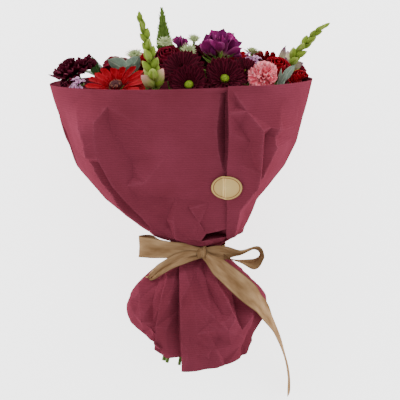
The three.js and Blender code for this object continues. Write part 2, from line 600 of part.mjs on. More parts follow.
function ribbon() {
  const up = [0, 1, 0];
  const band = Array.from({ length: 13 }, (_, k) => {
    const turn = (88 + k * 29.6) * deg;
    return { at: [29.6 * cos(turn), 0, 29.6 * sin(turn)], across: up, wide: 0.36 };
  });
  const leftLoop = [
    { at: [1, 2, 37], across: up, wide: 0.4 }, { at: [-28, 6, 47], across: [0, 1, 0.25], wide: 0.85 },
    { at: [-60, 9, 47], across: [0, 1, 0.1] }, { at: [-71, 9, 40], across: up }, { at: [-60, 9, 34], across: up },
    { at: [-42, 6, 37], across: [0, 1, 0.3], wide: 0.75 }, { at: [0, 2, 36], across: up, wide: 0.4 },
  ];
  const rightLoop = [
    { at: [3, 2, 37], across: up, wide: 0.4 }, { at: [23, 2, 41], across: [0.2, 1, 0.2], wide: 0.7 },
    { at: [46, 0, 38], across: [0.2, 0.4, 1], wide: 0.85 }, { at: [65, 4, 29], across: [0.1, 0.3, 1], wide: 0.85 },
    { at: [73, -6, 25], across: [0.4, -0.1, 1], wide: 0.85 }, { at: [62, -15, 27], across: [0.2, -0.2, 1], wide: 0.85 },
    { at: [41, -9, 34], across: [0.1, 0.5, 1], wide: 0.8 }, { at: [6, 0, 36], across: up, wide: 0.4 },
  ];
  const leftTail = [
    { at: [1, -1, 37], across: up, wide: 0.4 }, { at: [-22, -7, 46], across: [-0.2, 1, 0.1], wide: 0.8 },
    { at: [-44, -15, 40], across: [0.1, 1, -0.1], wide: 0.8 }, { at: [-59, -22, 16], across: [0.6, 0.75, -0.2], wide: 0.8 },
    { at: [-60, -25, -14], across: [0.65, 0.7, 0.18], wide: 0.8 }, { at: [-50, -29, -38], across: [0.5, 0.75, 0.45], wide: 0.8 },
    { at: [-41, -33, -54], across: [0.4, 0.8, 0.5], wide: 0.8 },
  ];
  const rightTail = [
    { at: [5, -1, 39], across: [0.3, 1, 0], wide: 0.4 }, { at: [25, -16, 52], across: [0.6, 0.8, 0.1], wide: 0.9 },
    { at: [51, -35, 56], across: [0.8, 0.7, -0.2] }, { at: [76, -64, 37], across: [0.8, 0.5, -0.5] },
    { at: [91, -98, 9], across: [0.75, 0.35, -0.7] }, { at: [100, -132, -14], across: [0.4, 0.25, -1] },
    { at: [108, -166, -27], across: [0.3, 0.1, -1] }, { at: [111, -197, -27], across: [0.25, 0.1, -1] },
  ];
  const knot = new THREE.SphereGeometry(8, 8, 5).scale(1, 0.9, 0.75).translate(...knotAt);
  return fuse([strip(band), strip(leftLoop), strip(rightLoop), strip(leftTail), strip(rightTail), knot]);
}

// Hidden raffia that binds the stems before the paper goes on
function stemTie() {
  return ring(17.2, 19.4, -4, 4, 14);
}

// Height of the paper's front face over a point
function paperFront(paperMesh, px, py) {
  const position = paperMesh.getAttribute("position");
  const index = paperMesh.index.array;
  const corner = (i) => new THREE.Vector3().fromBufferAttribute(position, index[i]);
  let front = -Infinity;
  for (let i = 0; i < index.length; i += 3) {
    const [a, b, c] = [corner(i), corner(i + 1), corner(i + 2)];
    if (max(a.z, b.z, c.z) < front) continue;
    const area = (b.x - a.x) * (c.y - a.y) - (b.y - a.y) * (c.x - a.x);
    const u = ((px - a.x) * (c.y - a.y) - (py - a.y) * (c.x - a.x)) / area;
    const v = ((b.x - a.x) * (py - a.y) - (b.y - a.y) * (px - a.x)) / area;
    if (u >= 0 && v >= 0 && u + v <= 1) front = max(front, a.z + u * (b.z - a.z) + v * (c.z - a.z));
  }
  return front;
}

// Plain gold seal that holds the lap of the paper: it lies over the step of the free edge
const sealSize = { at: [30, 85], halfWide: 17.5, halfTall: 14.4, thick: 0.8 };
function seal(paperMesh) {
  const { at, halfWide, halfTall, thick } = sealSize;
  const overPaper = (x, y) => {
    let front = -Infinity;
    for (const dx of [-2, 0, 2]) for (const dy of [-2, 0, 2]) front = max(front, paperFront(paperMesh, x + dx, y + dy));
    return front + gap;
  };
  const rings = [-0.97, -0.8, -0.5, -0.3, -0.14, 0, 0.25, 0.5, 0.8, 0.97].map((share) => {
    const x = at[0] + halfWide * share;
    const tall = halfTall * Math.sqrt(1 - share * share);
    const lows = [-1, 0, 1].map((k) => vec(x, at[1] + k * tall, overPaper(x, at[1] + k * tall)));
    return [...lows, ...lows.map((p) => p.clone().add(vec(0, 0, thick))).reverse()];
  });
  const middle = (ring) => ring[1].clone().add(ring[4]).multiplyScalar(0.5);
  return skin(rings, middle(rings[0]), middle(rings.at(-1)));
}

// Finishes
const finish = (color, roughness) => new THREE.MeshStandardMaterial({ color, roughness, metalness: 0 });
const finishes = {
  paper: finish(0x8a3c4e, 0.8), satin: finish(0xa98a60, 0.4), seal: finish(0xcdbb85, 0.35),
  raffia: finish(0xb59a6a, 0.9), stem: finish(0x5d7a35, 0.7), mum: finish(0x4b0f1c, 0.8),
  gerbera: finish(0xb01822, 0.6), gerberaCentre: finish(0x35101a, 0.9), darkRose: finish(0x5e1020, 0.8),
  redRose: finish(0x9b1020, 0.7), darkCarnation: finish(0x4a0c1a, 0.85), pinkCarnation: finish(0xe58c98, 0.8),
  alstroemeria: finish(0x6c2466, 0.55), astrantia: finish(0xcfd8b6, 0.8), snapdragon: finish(0x8cae4d, 0.6),
  foliage: finish(0x3f5f2c, 0.6), veronica: finish(0x5d8a35, 0.7), eucalyptus: finish(0x7d9488, 0.7),
  waxflower: finish(0xc9a0c0, 0.7),
};
const finishOf = (name) => {
  if (name.startsWith("dark_rose")) return finishes.darkRose;
  if (name.startsWith("red_rose")) return finishes.redRose;
  if (name.startsWith("dark_carnation")) return finishes.darkCarnation;
  if (name.startsWith("pink_carnation")) return finishes.pinkCarnation;
  return finishes[name.split("_")[0]];
};

const bouquet = new THREE.Group();
const axes = new THREE.Group();
axes.rotation.x = lie.tilt;
axes.position.z = lie.lift;
bouquet.add(axes);
function add(name, geometry, material) {
  const mesh = new THREE.Mesh(geometry, material);
  mesh.name = name;
  axes.add(mesh);
}
const paperMesh = paperWrap();
add("paper_wrap", paperMesh, finishes.paper);
add("ribbon", ribbon(), finishes.satin);
add("seal_sticker", seal(paperMesh), finishes.seal);
add("stem_tie", stemTie(), finishes.raffia);
add("stem_bunch", stemBunch(), finishes.stem);
for (const flower of flowers) {
  add(flower.name, placeHead(flower), finishOf(flower.name));
  if (flower.kind === "gerbera") add(flower.name + "_centre", gerberaCentre(flower), finishes.gerberaCentre);
}

// The origin lies on the table under the middle of the whole bouquet
bouquet.updateMatrixWorld(true);
const middle = new THREE.Box3().setFromObject(bouquet, true).getCenter(vec(0, 0, 0));
axes.position.x -= middle.x;
axes.position.y -= middle.y;

export default bouquet;
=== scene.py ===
# Mixed hand-tied bouquet in a lapped paper wrap with a satin bow, lying on its back on a pale table.
# Shapes are worked out in millimetres in the bouquet's own axes: x to the right, y from the cut stems
# to the flowers, z to the front, with the origin at the tie. They are put in place in metres.
import math

import bmesh
import bpy
import numpy as np
from mathutils import Matrix, Vector
from mathutils.bvhtree import BVHTree
from mathutils.geometry import delaunay_2d_cdt
from mathutils.kdtree import KDTree


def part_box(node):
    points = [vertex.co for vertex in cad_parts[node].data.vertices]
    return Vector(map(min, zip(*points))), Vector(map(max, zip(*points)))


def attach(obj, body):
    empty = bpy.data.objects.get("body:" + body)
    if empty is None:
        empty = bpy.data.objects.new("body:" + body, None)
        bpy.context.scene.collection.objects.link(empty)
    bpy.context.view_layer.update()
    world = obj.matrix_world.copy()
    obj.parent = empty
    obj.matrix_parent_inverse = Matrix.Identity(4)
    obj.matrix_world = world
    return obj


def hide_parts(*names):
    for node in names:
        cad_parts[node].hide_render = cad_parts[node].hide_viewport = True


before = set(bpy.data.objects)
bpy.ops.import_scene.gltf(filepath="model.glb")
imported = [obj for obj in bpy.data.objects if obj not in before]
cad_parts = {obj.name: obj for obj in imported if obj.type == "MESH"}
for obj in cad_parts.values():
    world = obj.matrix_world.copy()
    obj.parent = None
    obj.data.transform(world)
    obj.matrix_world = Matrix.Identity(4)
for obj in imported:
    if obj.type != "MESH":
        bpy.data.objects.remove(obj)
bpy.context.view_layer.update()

lie = {"tilt": math.radians(10), "lift": 74.8}  # the flowers' end is the higher one, the tie 74.8 mm up
cosTilt, sinTilt = math.cos(lie["tilt"]), math.sin(lie["tilt"])
tieLow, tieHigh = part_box("stem_tie")
tieMiddle = (np.array(tieLow) + np.array(tieHigh)) / 2
goldenTurn = math.radians(137.5)


def toWorld(points):
    x, y, z = points[:, 0], points[:, 1], points[:, 2]
    placed = np.stack([x, y * cosTilt - z * sinTilt, y * sinTilt + z * cosTilt], axis=1)
    return placed * 0.001 + tieMiddle


# The columns of a table of stations, read off at a place in its first column
def along(stations, at):
    table = np.array(stations, float)
    return [np.interp(at, table[:, 0], table[:, k]) for k in range(1, table.shape[1])]


def smoothStep(low, high, at):
    t = np.clip((np.asarray(at, float) - low) / (high - low), 0, 1)
    return t * t * (3 - 2 * t)


# Materials
def newMaterial(name, roughness, specular):
    material = bpy.data.materials.new(name)
    material.use_nodes = True
    shader = material.node_tree.nodes["Principled BSDF"]
    shader.inputs["Roughness"].default_value = roughness
    shader.inputs["Specular IOR Level"].default_value = specular
    return material, material.node_tree, shader


def rgb(red, green, blue):
    linear = [c / 255 / 12.92 if c <= 10 else ((c / 255 + 0.055) / 1.055) ** 2.4 for c in (red, green, blue)]
    return (*linear, 1.0)


def grey(level):
    return (level, level, level, 1.0)


def addNode(tree, kind, **values):
    node = tree.nodes.new(kind)
    for key, value in values.items():
        if key in node.inputs:
            node.inputs[key].default_value = value
        else:
            setattr(node, key, value)
    return node


# Gives a socket a value, or a link where the value is the output of another node
def feed(tree, socket, value):
    if isinstance(value, bpy.types.NodeSocket):
        tree.links.new(value, socket)
    else:
        socket.default_value = value


def rampOf(tree, stops, source):
    ramp = tree.nodes.new("ShaderNodeValToRGB")
    elements = ramp.color_ramp.elements
    while len(elements) < len(stops):
        elements.new(0.5)
    for element, (place, color) in zip(elements, stops):
        element.position = place
        element.color = color
    tree.links.new(source, ramp.inputs["Fac"])
    return ramp.outputs["Color"]


def mixColors(tree, factor, first, second, blend="MIX"):
    mix = addNode(tree, "ShaderNodeMix", data_type="RGBA", blend_type=blend)
    for place, value in ((0, factor), (6, first), (7, second)):  # the sockets of a colour mix
        feed(tree, mix.inputs[place], value)
    return mix.outputs[2]


def mathNode(tree, operation, *values):
    node = addNode(tree, "ShaderNodeMath", operation=operation)
    for socket, value in zip(node.inputs, values):
        feed(tree, socket, value)
    return node.outputs[0]


# The two numbers of a piece's UV map: across it and along it
def uvOf(tree):
    coords = tree.nodes.new("ShaderNodeTexCoord")
    split = tree.nodes.new("ShaderNodeSeparateXYZ")
    tree.links.new(coords.outputs["UV"], split.inputs[0])
    return split.outputs["X"], split.outputs["Y"]


def noiseOf(tree, scale, detail=3.0):
    coords = tree.nodes.new("ShaderNodeTexCoord")
    noise = addNode(tree, "ShaderNodeTexNoise", Scale=scale, Detail=detail)
    tree.links.new(coords.outputs["Object"], noise.inputs["Vector"])
    return noise.outputs["Fac"]


def fromMiddle(tree, across):
    return mathNode(tree, "ABSOLUTE", mathNode(tree, "SUBTRACT", across, 0.5))


def wavesOf(tree, source, stretch):
    return mathNode(tree, "SINE", mathNode(tree, "MULTIPLY", source, stretch))


def addBump(tree, shader, height, strength, distance):
    bump = addNode(tree, "ShaderNodeBump", Strength=strength, Distance=distance)
    tree.links.new(height, bump.inputs["Height"])
    tree.links.new(bump.outputs["Normal"], shader.inputs["Normal"])


petalFinish = {"roughness": 0.7, "specular": 0.06, "veins": 9.0, "mottle": 0.3, "ownShade": 0.4,
               "bump": 0.35, "bumpDepth": 0.0004}


# Petals are darker where they leave the flower and paler towards the tip and along the rim, the paler tip
# and rim being partly their own colour and partly painted highlight; they vary one from the next and carry
# fine lengthwise veins
def petalMaterial(name, root, body, tip, rim, bodyEnd=0.8):
    material, tree, shader = newMaterial(name, petalFinish["roughness"], petalFinish["specular"])
    across, outward = uvOf(tree)
    noise = noiseOf(tree, 320.0)
    lengthwise = rampOf(tree, [(0.0, root), (0.3, body), (bodyEnd, body), (1.0, tip)], outward)
    # painted highlight: the paler rim colour along both long edges of each petal stands partly for light
    # caught on the rims
    rimColourAndHighlight = rampOf(tree, [(0.3, grey(0.0)), (0.5, grey(0.6))], fromMiddle(tree, across))
    color = mixColors(tree, rimColourAndHighlight, lengthwise, rim)
    darkest = 0.8 - petalFinish["mottle"] / 2
    mottled = mathNode(tree, "MULTIPLY_ADD", noise, petalFinish["mottle"], darkest)
    shade = addNode(tree, "ShaderNodeAttribute", attribute_name="shade")
    tone = mathNode(tree, "MULTIPLY_ADD", shade.outputs["Fac"], petalFinish["ownShade"], mottled)
    final = addNode(tree, "ShaderNodeVectorMath", operation="SCALE")
    tree.links.new(color, final.inputs[0])
    tree.links.new(tone, final.inputs["Scale"])
    tree.links.new(final.outputs[0], shader.inputs["Base Color"])
    veins = wavesOf(tree, across, petalFinish["veins"] * 2 * math.pi)
    relief = mathNode(tree, "MULTIPLY_ADD", noise, 0.8, veins)
    addBump(tree, shader, relief, petalFinish["bump"], petalFinish["bumpDepth"])
    return material


# Each petal's colours: root, body, tip and rim, the paler tip and rim being partly painted highlight. A last
# number says where the body colour ends early.
petalLooks = {
    "mumPetal": (rgb(10, 0, 3), rgb(54, 2, 17), rgb(82, 8, 30), rgb(124, 34, 60)),
    "gerberaPetal": (rgb(54, 0, 6), rgb(126, 0, 14), rgb(150, 6, 24), rgb(172, 18, 36)),
    "darkRosePetal": (rgb(26, 0, 6), rgb(76, 0, 18), rgb(112, 8, 34), rgb(128, 22, 48)),
    "redRosePetal": (rgb(48, 0, 6), rgb(112, 0, 14), rgb(148, 6, 26), rgb(160, 20, 38)),
    "darkCarnationPetal": (rgb(24, 0, 8), rgb(56, 3, 18), rgb(78, 12, 34), rgb(108, 38, 60)),
    "pinkCarnationPetal": (rgb(186, 64, 90), rgb(226, 112, 130), rgb(240, 150, 160), rgb(246, 184, 190)),
    "alstroemeriaPetal": (rgb(196, 172, 134), rgb(152, 36, 114), rgb(140, 28, 102), rgb(190, 98, 158)),
    "alstroemeriaDeep": (rgb(104, 60, 80), rgb(110, 22, 86), rgb(96, 18, 74), rgb(146, 66, 122)),
    "astrantiaBract": (rgb(96, 128, 60), rgb(176, 190, 136), rgb(202, 210, 170), rgb(214, 220, 184)),
    "waxflowerPetal": (rgb(130, 50, 96), rgb(180, 128, 168), rgb(206, 168, 196), rgb(218, 190, 210)),
    "snapdragonBud": (rgb(74, 100, 26), rgb(114, 136, 46), rgb(156, 168, 84), rgb(166, 178, 100)),
    "snapdragonTip": (rgb(84, 110, 36), rgb(136, 150, 74), rgb(196, 132, 136), rgb(180, 160, 120), 0.4),
    "purpleTipBud": (rgb(140, 156, 84), rgb(190, 186, 144), rgb(104, 44, 98), rgb(160, 120, 140), 0.35),
    "veronicaBud": (rgb(60, 86, 28), rgb(88, 116, 42), rgb(124, 146, 68), rgb(134, 154, 82)),
}
looks = {name: petalMaterial(name, *colors) for name, colors in petalLooks.items()}


# Leaves have a pale midrib and rim, and side veins that slant outwards
def leafMaterial(name, body, rim, roughness):
    material, tree, shader = newMaterial(name, roughness, 0.25)
    across, outward = uvOf(tree)
    away = fromMiddle(tree, across)
    color = rampOf(tree, [(0.0, rim), (0.05, body), (0.44, body), (0.5, rim)], away)
    mottled = rampOf(tree, [(0.3, grey(0.72)), (0.75, (1.15, 1.15, 1.12, 1))], noiseOf(tree, 140.0, 5.0))
    tree.links.new(mixColors(tree, 1.0, color, mottled, "MULTIPLY"), shader.inputs["Base Color"])
    slant = mathNode(tree, "SUBTRACT", outward, mathNode(tree, "MULTIPLY", away, 0.5))
    addBump(tree, shader, wavesOf(tree, slant, 60.0), 0.25, 0.0004)
    return material


leafLooks = {  # body, rim and roughness
    "eucalyptusLeaf": (rgb(128, 148, 132), rgb(186, 196, 174), 0.65),
    "foliageLeaf": (rgb(42, 70, 30), rgb(88, 112, 58), 0.5),
}
looks.update({name: leafMaterial(name, *look) for name, look in leafLooks.items()})


def plainMaterial(name, low, high, roughness, scale, bump):
    material, tree, shader = newMaterial(name, roughness, 0.2)
    noise = noiseOf(tree, scale, 4.0)
    tree.links.new(rampOf(tree, [(0.3, low), (0.7, high)], noise), shader.inputs["Base Color"])
    addBump(tree, shader, noise, 0.4, bump)
    return material


plainLooks = {  # dark and light colour, roughness, grain and depth of the grain in metres
    "stemGreen": (rgb(58, 82, 26), rgb(96, 122, 48), 0.6, 260.0, 0.0004),
    "mumEye": (rgb(84, 112, 14), rgb(136, 160, 36), 0.7, 700.0, 0.0003),
    "gerberaEye": (rgb(26, 2, 6), rgb(70, 8, 14), 0.8, 700.0, 0.0003),
    "pollen": (rgb(130, 84, 60), rgb(176, 120, 96), 0.8, 900.0, 0.0002),
    "raffia": (rgb(150, 118, 72), rgb(196, 166, 116), 0.8, 500.0, 0.0005),
}
looks.update({name: plainMaterial(name, *look) for name, look in plainLooks.items()})

paperLook = {"roughness": 0.9, "rib": 0.0027, "ribContrast": 0.05, "wearAndSheen": 0.2, "deep": rgb(110, 45, 58),
             "body": rgb(122, 52, 68), "wornAndSheen": rgb(150, 76, 94)}


# Burgundy kraft paper with fine ribs across it, paler along the ridges of its creases, partly as wear and
# partly as painted highlight
def kraftMaterial():
    material, tree, shader = newMaterial("ribbedKraft", paperLook["roughness"], 0.0)
    ribs = wavesOf(tree, uvOf(tree)[1], 2 * math.pi / paperLook["rib"])
    fibre = noiseOf(tree, 900.0)
    base = rampOf(tree, [(0.3, paperLook["deep"]), (0.7, paperLook["body"])], noiseOf(tree, 18.0))
    contrast = paperLook["ribContrast"]
    ribTone = rampOf(tree, [(0.0, grey(1 - contrast)), (1.0, grey(1 + contrast))],
                     mathNode(tree, "MULTIPLY_ADD", ribs, 0.5, 0.5))
    color = mixColors(tree, 1.0, base, ribTone, "MULTIPLY")
    speck = rampOf(tree, [(0.35, grey(0.94)), (0.65, grey(1.07))], fibre)
    color = mixColors(tree, 1.0, color, speck, "MULTIPLY")
    # painted highlight: convex crease ridges are made paler, partly as wear and partly for light caught on
    # the folds
    ridgeWearAndSheen = addNode(tree, "ShaderNodeAttribute", attribute_name="ridgeWearAndSheen")
    wearAndSheen = mathNode(tree, "MULTIPLY", ridgeWearAndSheen.outputs["Fac"], paperLook["wearAndSheen"])
    tree.links.new(mixColors(tree, wearAndSheen, color, paperLook["wornAndSheen"]), shader.inputs["Base Color"])
    addBump(tree, shader, mathNode(tree, "MULTIPLY_ADD", fibre, 0.5, ribs), 0.3, 0.0002)
    return material


# Tan-gold satin with painted highlight streaks along its length for its sheen, and a woven hem at both edges
def satinMaterial():
    material, tree, shader = newMaterial("goldSatin", 0.5, 0.0)
    across = uvOf(tree)[0]
    coords = tree.nodes.new("ShaderNodeTexCoord")
    stretch = addNode(tree, "ShaderNodeMapping", Scale=(2.5, 30.0, 1.0))
    # painted highlight: stretched noise between a darker and a paler tan stands in for the satin's sheen
    sheenStreaks = addNode(tree, "ShaderNodeTexNoise", Scale=1.0, Detail=3.0)
    tree.links.new(coords.outputs["UV"], stretch.inputs["Vector"])
    tree.links.new(stretch.outputs[0], sheenStreaks.inputs["Vector"])
    body = rampOf(tree, [(0.3, rgb(118, 88, 58)), (0.7, rgb(172, 140, 104))], sheenStreaks.outputs["Fac"])
    hem = rampOf(tree, [(0.46, grey(0.0)), (0.475, grey(1.0))], fromMiddle(tree, across))
    tree.links.new(mixColors(tree, hem, body, rgb(116, 90, 64)), shader.inputs["Base Color"])
    addBump(tree, shader, wavesOf(tree, across, 2 * math.pi * 60), 0.12, 0.0002)
    return material


# Gold foil with a darker ring near its edge
def sealMaterial():
    material, tree, shader = newMaterial("goldSeal", 0.32, 0.6)
    shader.inputs["Metallic"].default_value = 0.35
    stops = [(0.0, rgb(214, 184, 118)), (0.80, rgb(206, 172, 104)), (0.83, rgb(140, 92, 38)),
             (0.87, rgb(140, 92, 38)), (0.90, rgb(212, 180, 112)), (1.0, rgb(180, 142, 76))]
    tree.links.new(rampOf(tree, stops, uvOf(tree)[0]), shader.inputs["Base Color"])
    addBump(tree, shader, noiseOf(tree, 260.0), 0.15, 0.0003)
    return material


looks["kraft"] = kraftMaterial()
looks["satin"] = satinMaterial()
looks["seal"] = sealMaterial()
print("materials made")


# A mesh from arrays: its points, its faces, a UV place for each point and named values for each point
def meshOf(name, points, faces, uv, material, values=None):
    mesh = bpy.data.meshes.new(name)
    mesh.from_pydata([tuple(p) for p in points], [], [tuple(int(i) for i in f) for f in faces])
    layer = mesh.uv_layers.new(name="UVMap")
    corners = np.zeros(len(mesh.loops), dtype=np.int32)
    mesh.loops.foreach_get("vertex_index", corners)
    layer.data.foreach_set("uv", np.asarray(uv, np.float32)[corners].ravel())
    for key, value in (values or {}).items():
        attribute = mesh.attributes.new(key, "FLOAT", "POINT")
        attribute.data.foreach_set("value", np.asarray(value, np.float32))
    mesh.materials.append(looks[material])
    return mesh


# The points round the edge of a grid of point numbers, in order
def rimOf(index):
    return np.concatenate([index[0, :-1], index[:-1, -1], index[-1, :0:-1], index[:0:-1, 0]])


# Closed thin shell from a grid of points [rows, columns, 3] and a thickness for each
def shellOf(name, grid, normals, thick, uv, material, values=None):
    rows, columns = grid.shape[:2]
    half = (np.asarray(thick, float) / 2)[..., None] * normals
    points = np.concatenate([(grid + half).reshape(-1, 3), (grid - half).reshape(-1, 3)])
    under = rows * columns
    index = np.arange(under).reshape(rows, columns)
    a, b = index[:-1, :-1].ravel(), index[:-1, 1:].ravel()
    c, d = index[1:, 1:].ravel(), index[1:, :-1].ravel()
    faces = [np.stack([a, b, c, d], 1), np.stack([a, d, c, b], 1) + under]
    rim = rimOf(index)
    after = np.roll(rim, -1)
    faces.append(np.stack([after, rim, rim + under, after + under], 1))
    both = np.concatenate([uv.reshape(-1, 2)] * 2)
    doubled = {key: np.concatenate([value.ravel()] * 2) for key, value in (values or {}).items()}
    return meshOf(name, points, np.concatenate(faces), both, material, doubled)


def gridNormals(grid):
    normal = np.cross(np.gradient(grid, axis=1), np.gradient(grid, axis=0))
    return normal / np.maximum(np.linalg.norm(normal, axis=2, keepdims=True), 1e-9)


# Petal or leaf that grows along +X and faces +Z. Widths and heights are pairs, both numbers of a pair being
# shares of the length: the first says how far along, the second how wide or high.
def petal(name, material, length, widths, heights, cup=0.0, ruffle=0.0, waves=3.0, teeth=0.0, fold=0.0,
          thick=0.35, rows=8, columns=7):
    t = np.linspace(0, 1, rows)[:, None]
    s = np.linspace(-1, 1, columns)[None, :]
    half = along(widths, t)[0] * length
    lift = along(heights, t)[0] * length
    reach = length * t * (1 - 0.06 * s**2 * t**4) + teeth * length * t**6 * np.cos(s * math.pi * waves * 2.1)
    x = reach + 0 * s
    y = half * s
    z = lift + cup * half * s**2 + ruffle * length * t**2 * np.sin(s * math.pi * waves) + fold * half * abs(s)
    grid = np.stack([x, y, z], axis=2)
    normals = -gridNormals(grid)
    normals = np.where(normals[..., 2:3].mean() < 0, -normals, normals)
    thin = thick * (1 - 0.55 * abs(s) ** 3) * (1 - 0.4 * t)
    uv = np.stack([(s + 1) / 2 + 0 * t, t + 0 * s], axis=2)
    return shellOf(name, grid, normals, thin, uv, material)


# Closed round form on +Z from (radius, height) stations
def turnedForm(name, material, stations, sides=10):
    turns = np.arange(sides) * 2 * math.pi / sides
    rings = [np.stack([r * np.cos(turns), r * np.sin(turns), 0 * turns + h], 1) for r, h in stations]
    bottom, top = (0, 0, stations[0][1]), (0, 0, stations[-1][1])
    points = np.concatenate([*rings, [bottom, top]])
    faces = []
    for k in range(sides):
        after = (k + 1) % sides
        faces.append((len(points) - 2, after, k))
        last = (len(rings) - 1) * sides
        faces.append((len(points) - 1, last + k, last + after))
        for r in range(len(rings) - 1):
            a = r * sides
            faces.append((a + k, a + after, a + sides + after, a + sides + k))
    share = np.concatenate([np.repeat(np.linspace(0, 1, len(rings)), sides), [0, 1]])
    uv = np.stack([np.concatenate([np.tile(turns / 6.3, len(rings)), [0, 0]]), share], 1)
    return meshOf(name, points, faces, uv, material)


def newTree(name, **inputs):
    tree = bpy.data.node_groups.new(name, "GeometryNodeTree")
    tree.interface.new_socket(name="Geometry", in_out="INPUT", socket_type="NodeSocketGeometry")
    for kind, names in inputs.items():
        for socketName in names:
            tree.interface.new_socket(name=socketName, in_out="INPUT", socket_type="NodeSocket" + kind)
    tree.interface.new_socket(name="Material", in_out="INPUT", socket_type="NodeSocketMaterial")
    tree.interface.new_socket(name="Geometry", in_out="OUTPUT", socket_type="NodeSocketGeometry")
    return tree, tree.nodes.new("NodeGroupInput").outputs


# Every tree ends by making its copies real and giving them their material
def endTree(tree, made, material):
    real = tree.nodes.new("GeometryNodeRealizeInstances")
    paint = tree.nodes.new("GeometryNodeSetMaterial")
    end = tree.nodes.new("NodeGroupOutput")
    tree.links.new(made, real.inputs[0])
    tree.links.new(real.outputs[0], paint.inputs["Geometry"])
    tree.links.new(material, paint.inputs["Material"])
    tree.links.new(paint.outputs[0], end.inputs[0])


whorlRanges = ("Radius", "Height", "Rise", "Scale")  # each goes from a start to an end over the whorl


# Geometry Nodes: sets copies of one petal, bud or floret round an axis along a spiral or in a ring
def whorlTree():
    ends = [f"{name} {end}" for name in whorlRanges for end in ("Start", "End")]
    tree, given = newTree("whorl", Int=["Count", "Seed"], Float=["Turn Step", "Phase", "Jitter", *ends])
    link = tree.links.new

    def number(operation, *values):
        return mathNode(tree, operation, *values)

    def randomValue(low, high, extra):
        node = addNode(tree, "FunctionNodeRandomValue", data_type="FLOAT")
        node.inputs[2].default_value = low
        node.inputs[3].default_value = high
        link(number("ADD", given["Seed"], extra), node.inputs["Seed"])
        return node.outputs[1]

    index = tree.nodes.new("GeometryNodeInputIndex").outputs[0]
    share = number("DIVIDE", index, number("MAXIMUM", number("SUBTRACT", given["Count"], 1), 1))

    def between(name):
        span = number("SUBTRACT", given[name + " End"], given[name + " Start"])
        return number("ADD", given[name + " Start"], number("MULTIPLY", span, share))

    def jittered(value, amount, extra):
        swing = number("MULTIPLY", given["Jitter"], amount)
        return number("ADD", value, number("MULTIPLY", swing, randomValue(-1.0, 1.0, extra)))

    turn = jittered(number("ADD", given["Phase"], number("MULTIPLY", index, given["Turn Step"])), 0.6, 1)
    radius = between("Radius")
    place = tree.nodes.new("ShaderNodeCombineXYZ")
    link(number("MULTIPLY", radius, number("COSINE", turn)), place.inputs[0])
    link(number("MULTIPLY", radius, number("SINE", turn)), place.inputs[1])
    link(between("Height"), place.inputs[2])
    points = tree.nodes.new("GeometryNodePoints")
    link(given["Count"], points.inputs["Count"])
    link(place.outputs[0], points.inputs["Position"])
    rotation = tree.nodes.new("ShaderNodeCombineXYZ")
    link(jittered(number("MULTIPLY", index, 0.0), 0.8, 2), rotation.inputs[0])
    link(jittered(number("MULTIPLY", between("Rise"), -1.0), 0.7, 3), rotation.inputs[1])
    link(turn, rotation.inputs[2])
    toRotation = tree.nodes.new("FunctionNodeEulerToRotation")
    link(rotation.outputs[0], toRotation.inputs[0])
    copies = tree.nodes.new("GeometryNodeInstanceOnPoints")
    link(points.outputs[0], copies.inputs["Points"])
    link(given["Geometry"], copies.inputs["Instance"])
    link(toRotation.outputs[0], copies.inputs["Rotation"])
    link(jittered(between("Scale"), 0.5, 4), copies.inputs["Scale"])
    store = addNode(tree, "GeometryNodeStoreNamedAttribute", domain="INSTANCE", Name="shade")
    link(copies.outputs[0], store.inputs["Geometry"])
    link(randomValue(0.0, 1.0, 5), store.inputs["Value"])
    endTree(tree, store.outputs[0], given["Material"])
    return tree


def socketsOf(tree):
    return {item.name: item.identifier for item in tree.interface.items_tree if item.in_out == "INPUT"}


def applied(obj, name):
    depsgraph = bpy.context.evaluated_depsgraph_get()
    mesh = bpy.data.meshes.new_from_object(obj.evaluated_get(depsgraph), depsgraph=depsgraph)
    mesh.name = name
    bpy.data.objects.remove(obj)
    return mesh


whorlNodes = whorlTree()
whorlSockets = socketsOf(whorlNodes)


# A range is one number, or a pair where it changes over the whorl
def whorl(source, count, step=None, radius=0, height=0, rise=0, scale=1, phase=0, jitter=0.1, seed=1):
    obj = bpy.data.objects.new("whorl", source)
    bpy.context.scene.collection.objects.link(obj)
    modifier = obj.modifiers.new("whorl", "NODES")
    modifier.node_group = whorlNodes
    sizes = {"Turn Step": step or 2 * math.pi / count, "Phase": phase, "Jitter": jitter}
    for name, given in zip(whorlRanges, (radius, height, rise, scale)):
        sizes[name + " Start"], sizes[name + " End"] = given if isinstance(given, tuple) else (given, given)
    for name, value in sizes.items():
        modifier[whorlSockets[name]] = float(value)
    for name, value in (("Count", count), ("Seed", seed), ("Material", source.materials[0])):
        modifier[whorlSockets[name]] = value
    return applied(obj, "whorlMade")


def transformed(mesh, matrix):
    made = mesh.copy()
    made.transform(matrix)
    return made


# Joins meshes to one, keeping their UV, their values and their materials
def joined(name, meshes):
    joiner = bmesh.new()
    materials = []
    for mesh in meshes:
        materials += [material for material in mesh.materials if material not in materials]
        slots = np.array([materials.index(material) for material in mesh.materials])
        used = np.zeros(len(mesh.polygons), np.int32)
        mesh.polygons.foreach_get("material_index", used)
        mesh.polygons.foreach_set("material_index", slots[used].astype(np.int32))
        joiner.from_mesh(mesh)
    result = bpy.data.meshes.new(name)
    joiner.to_mesh(result)
    joiner.free()
    for material in materials:
        result.materials.append(material)
    return result


def pointsOf(mesh):
    points = np.zeros(len(mesh.vertices) * 3, np.float32)
    mesh.vertices.foreach_get("co", points)
    return points.reshape(-1, 3).astype(float)


def placePiece(name, mesh, points, nodes, sharpAngle=62):
    mesh.vertices.foreach_set("co", toWorld(points).astype(np.float32).ravel())
    mesh.polygons.foreach_set("use_smooth", [True] * len(mesh.polygons))
    mesh.update()
    mesh.set_sharp_from_angle(angle=math.radians(sharpAngle))
    piece = bpy.data.objects.new(name, mesh)
    bpy.context.scene.collection.objects.link(piece)
    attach(piece, "root")
    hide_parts(*nodes)
    return piece


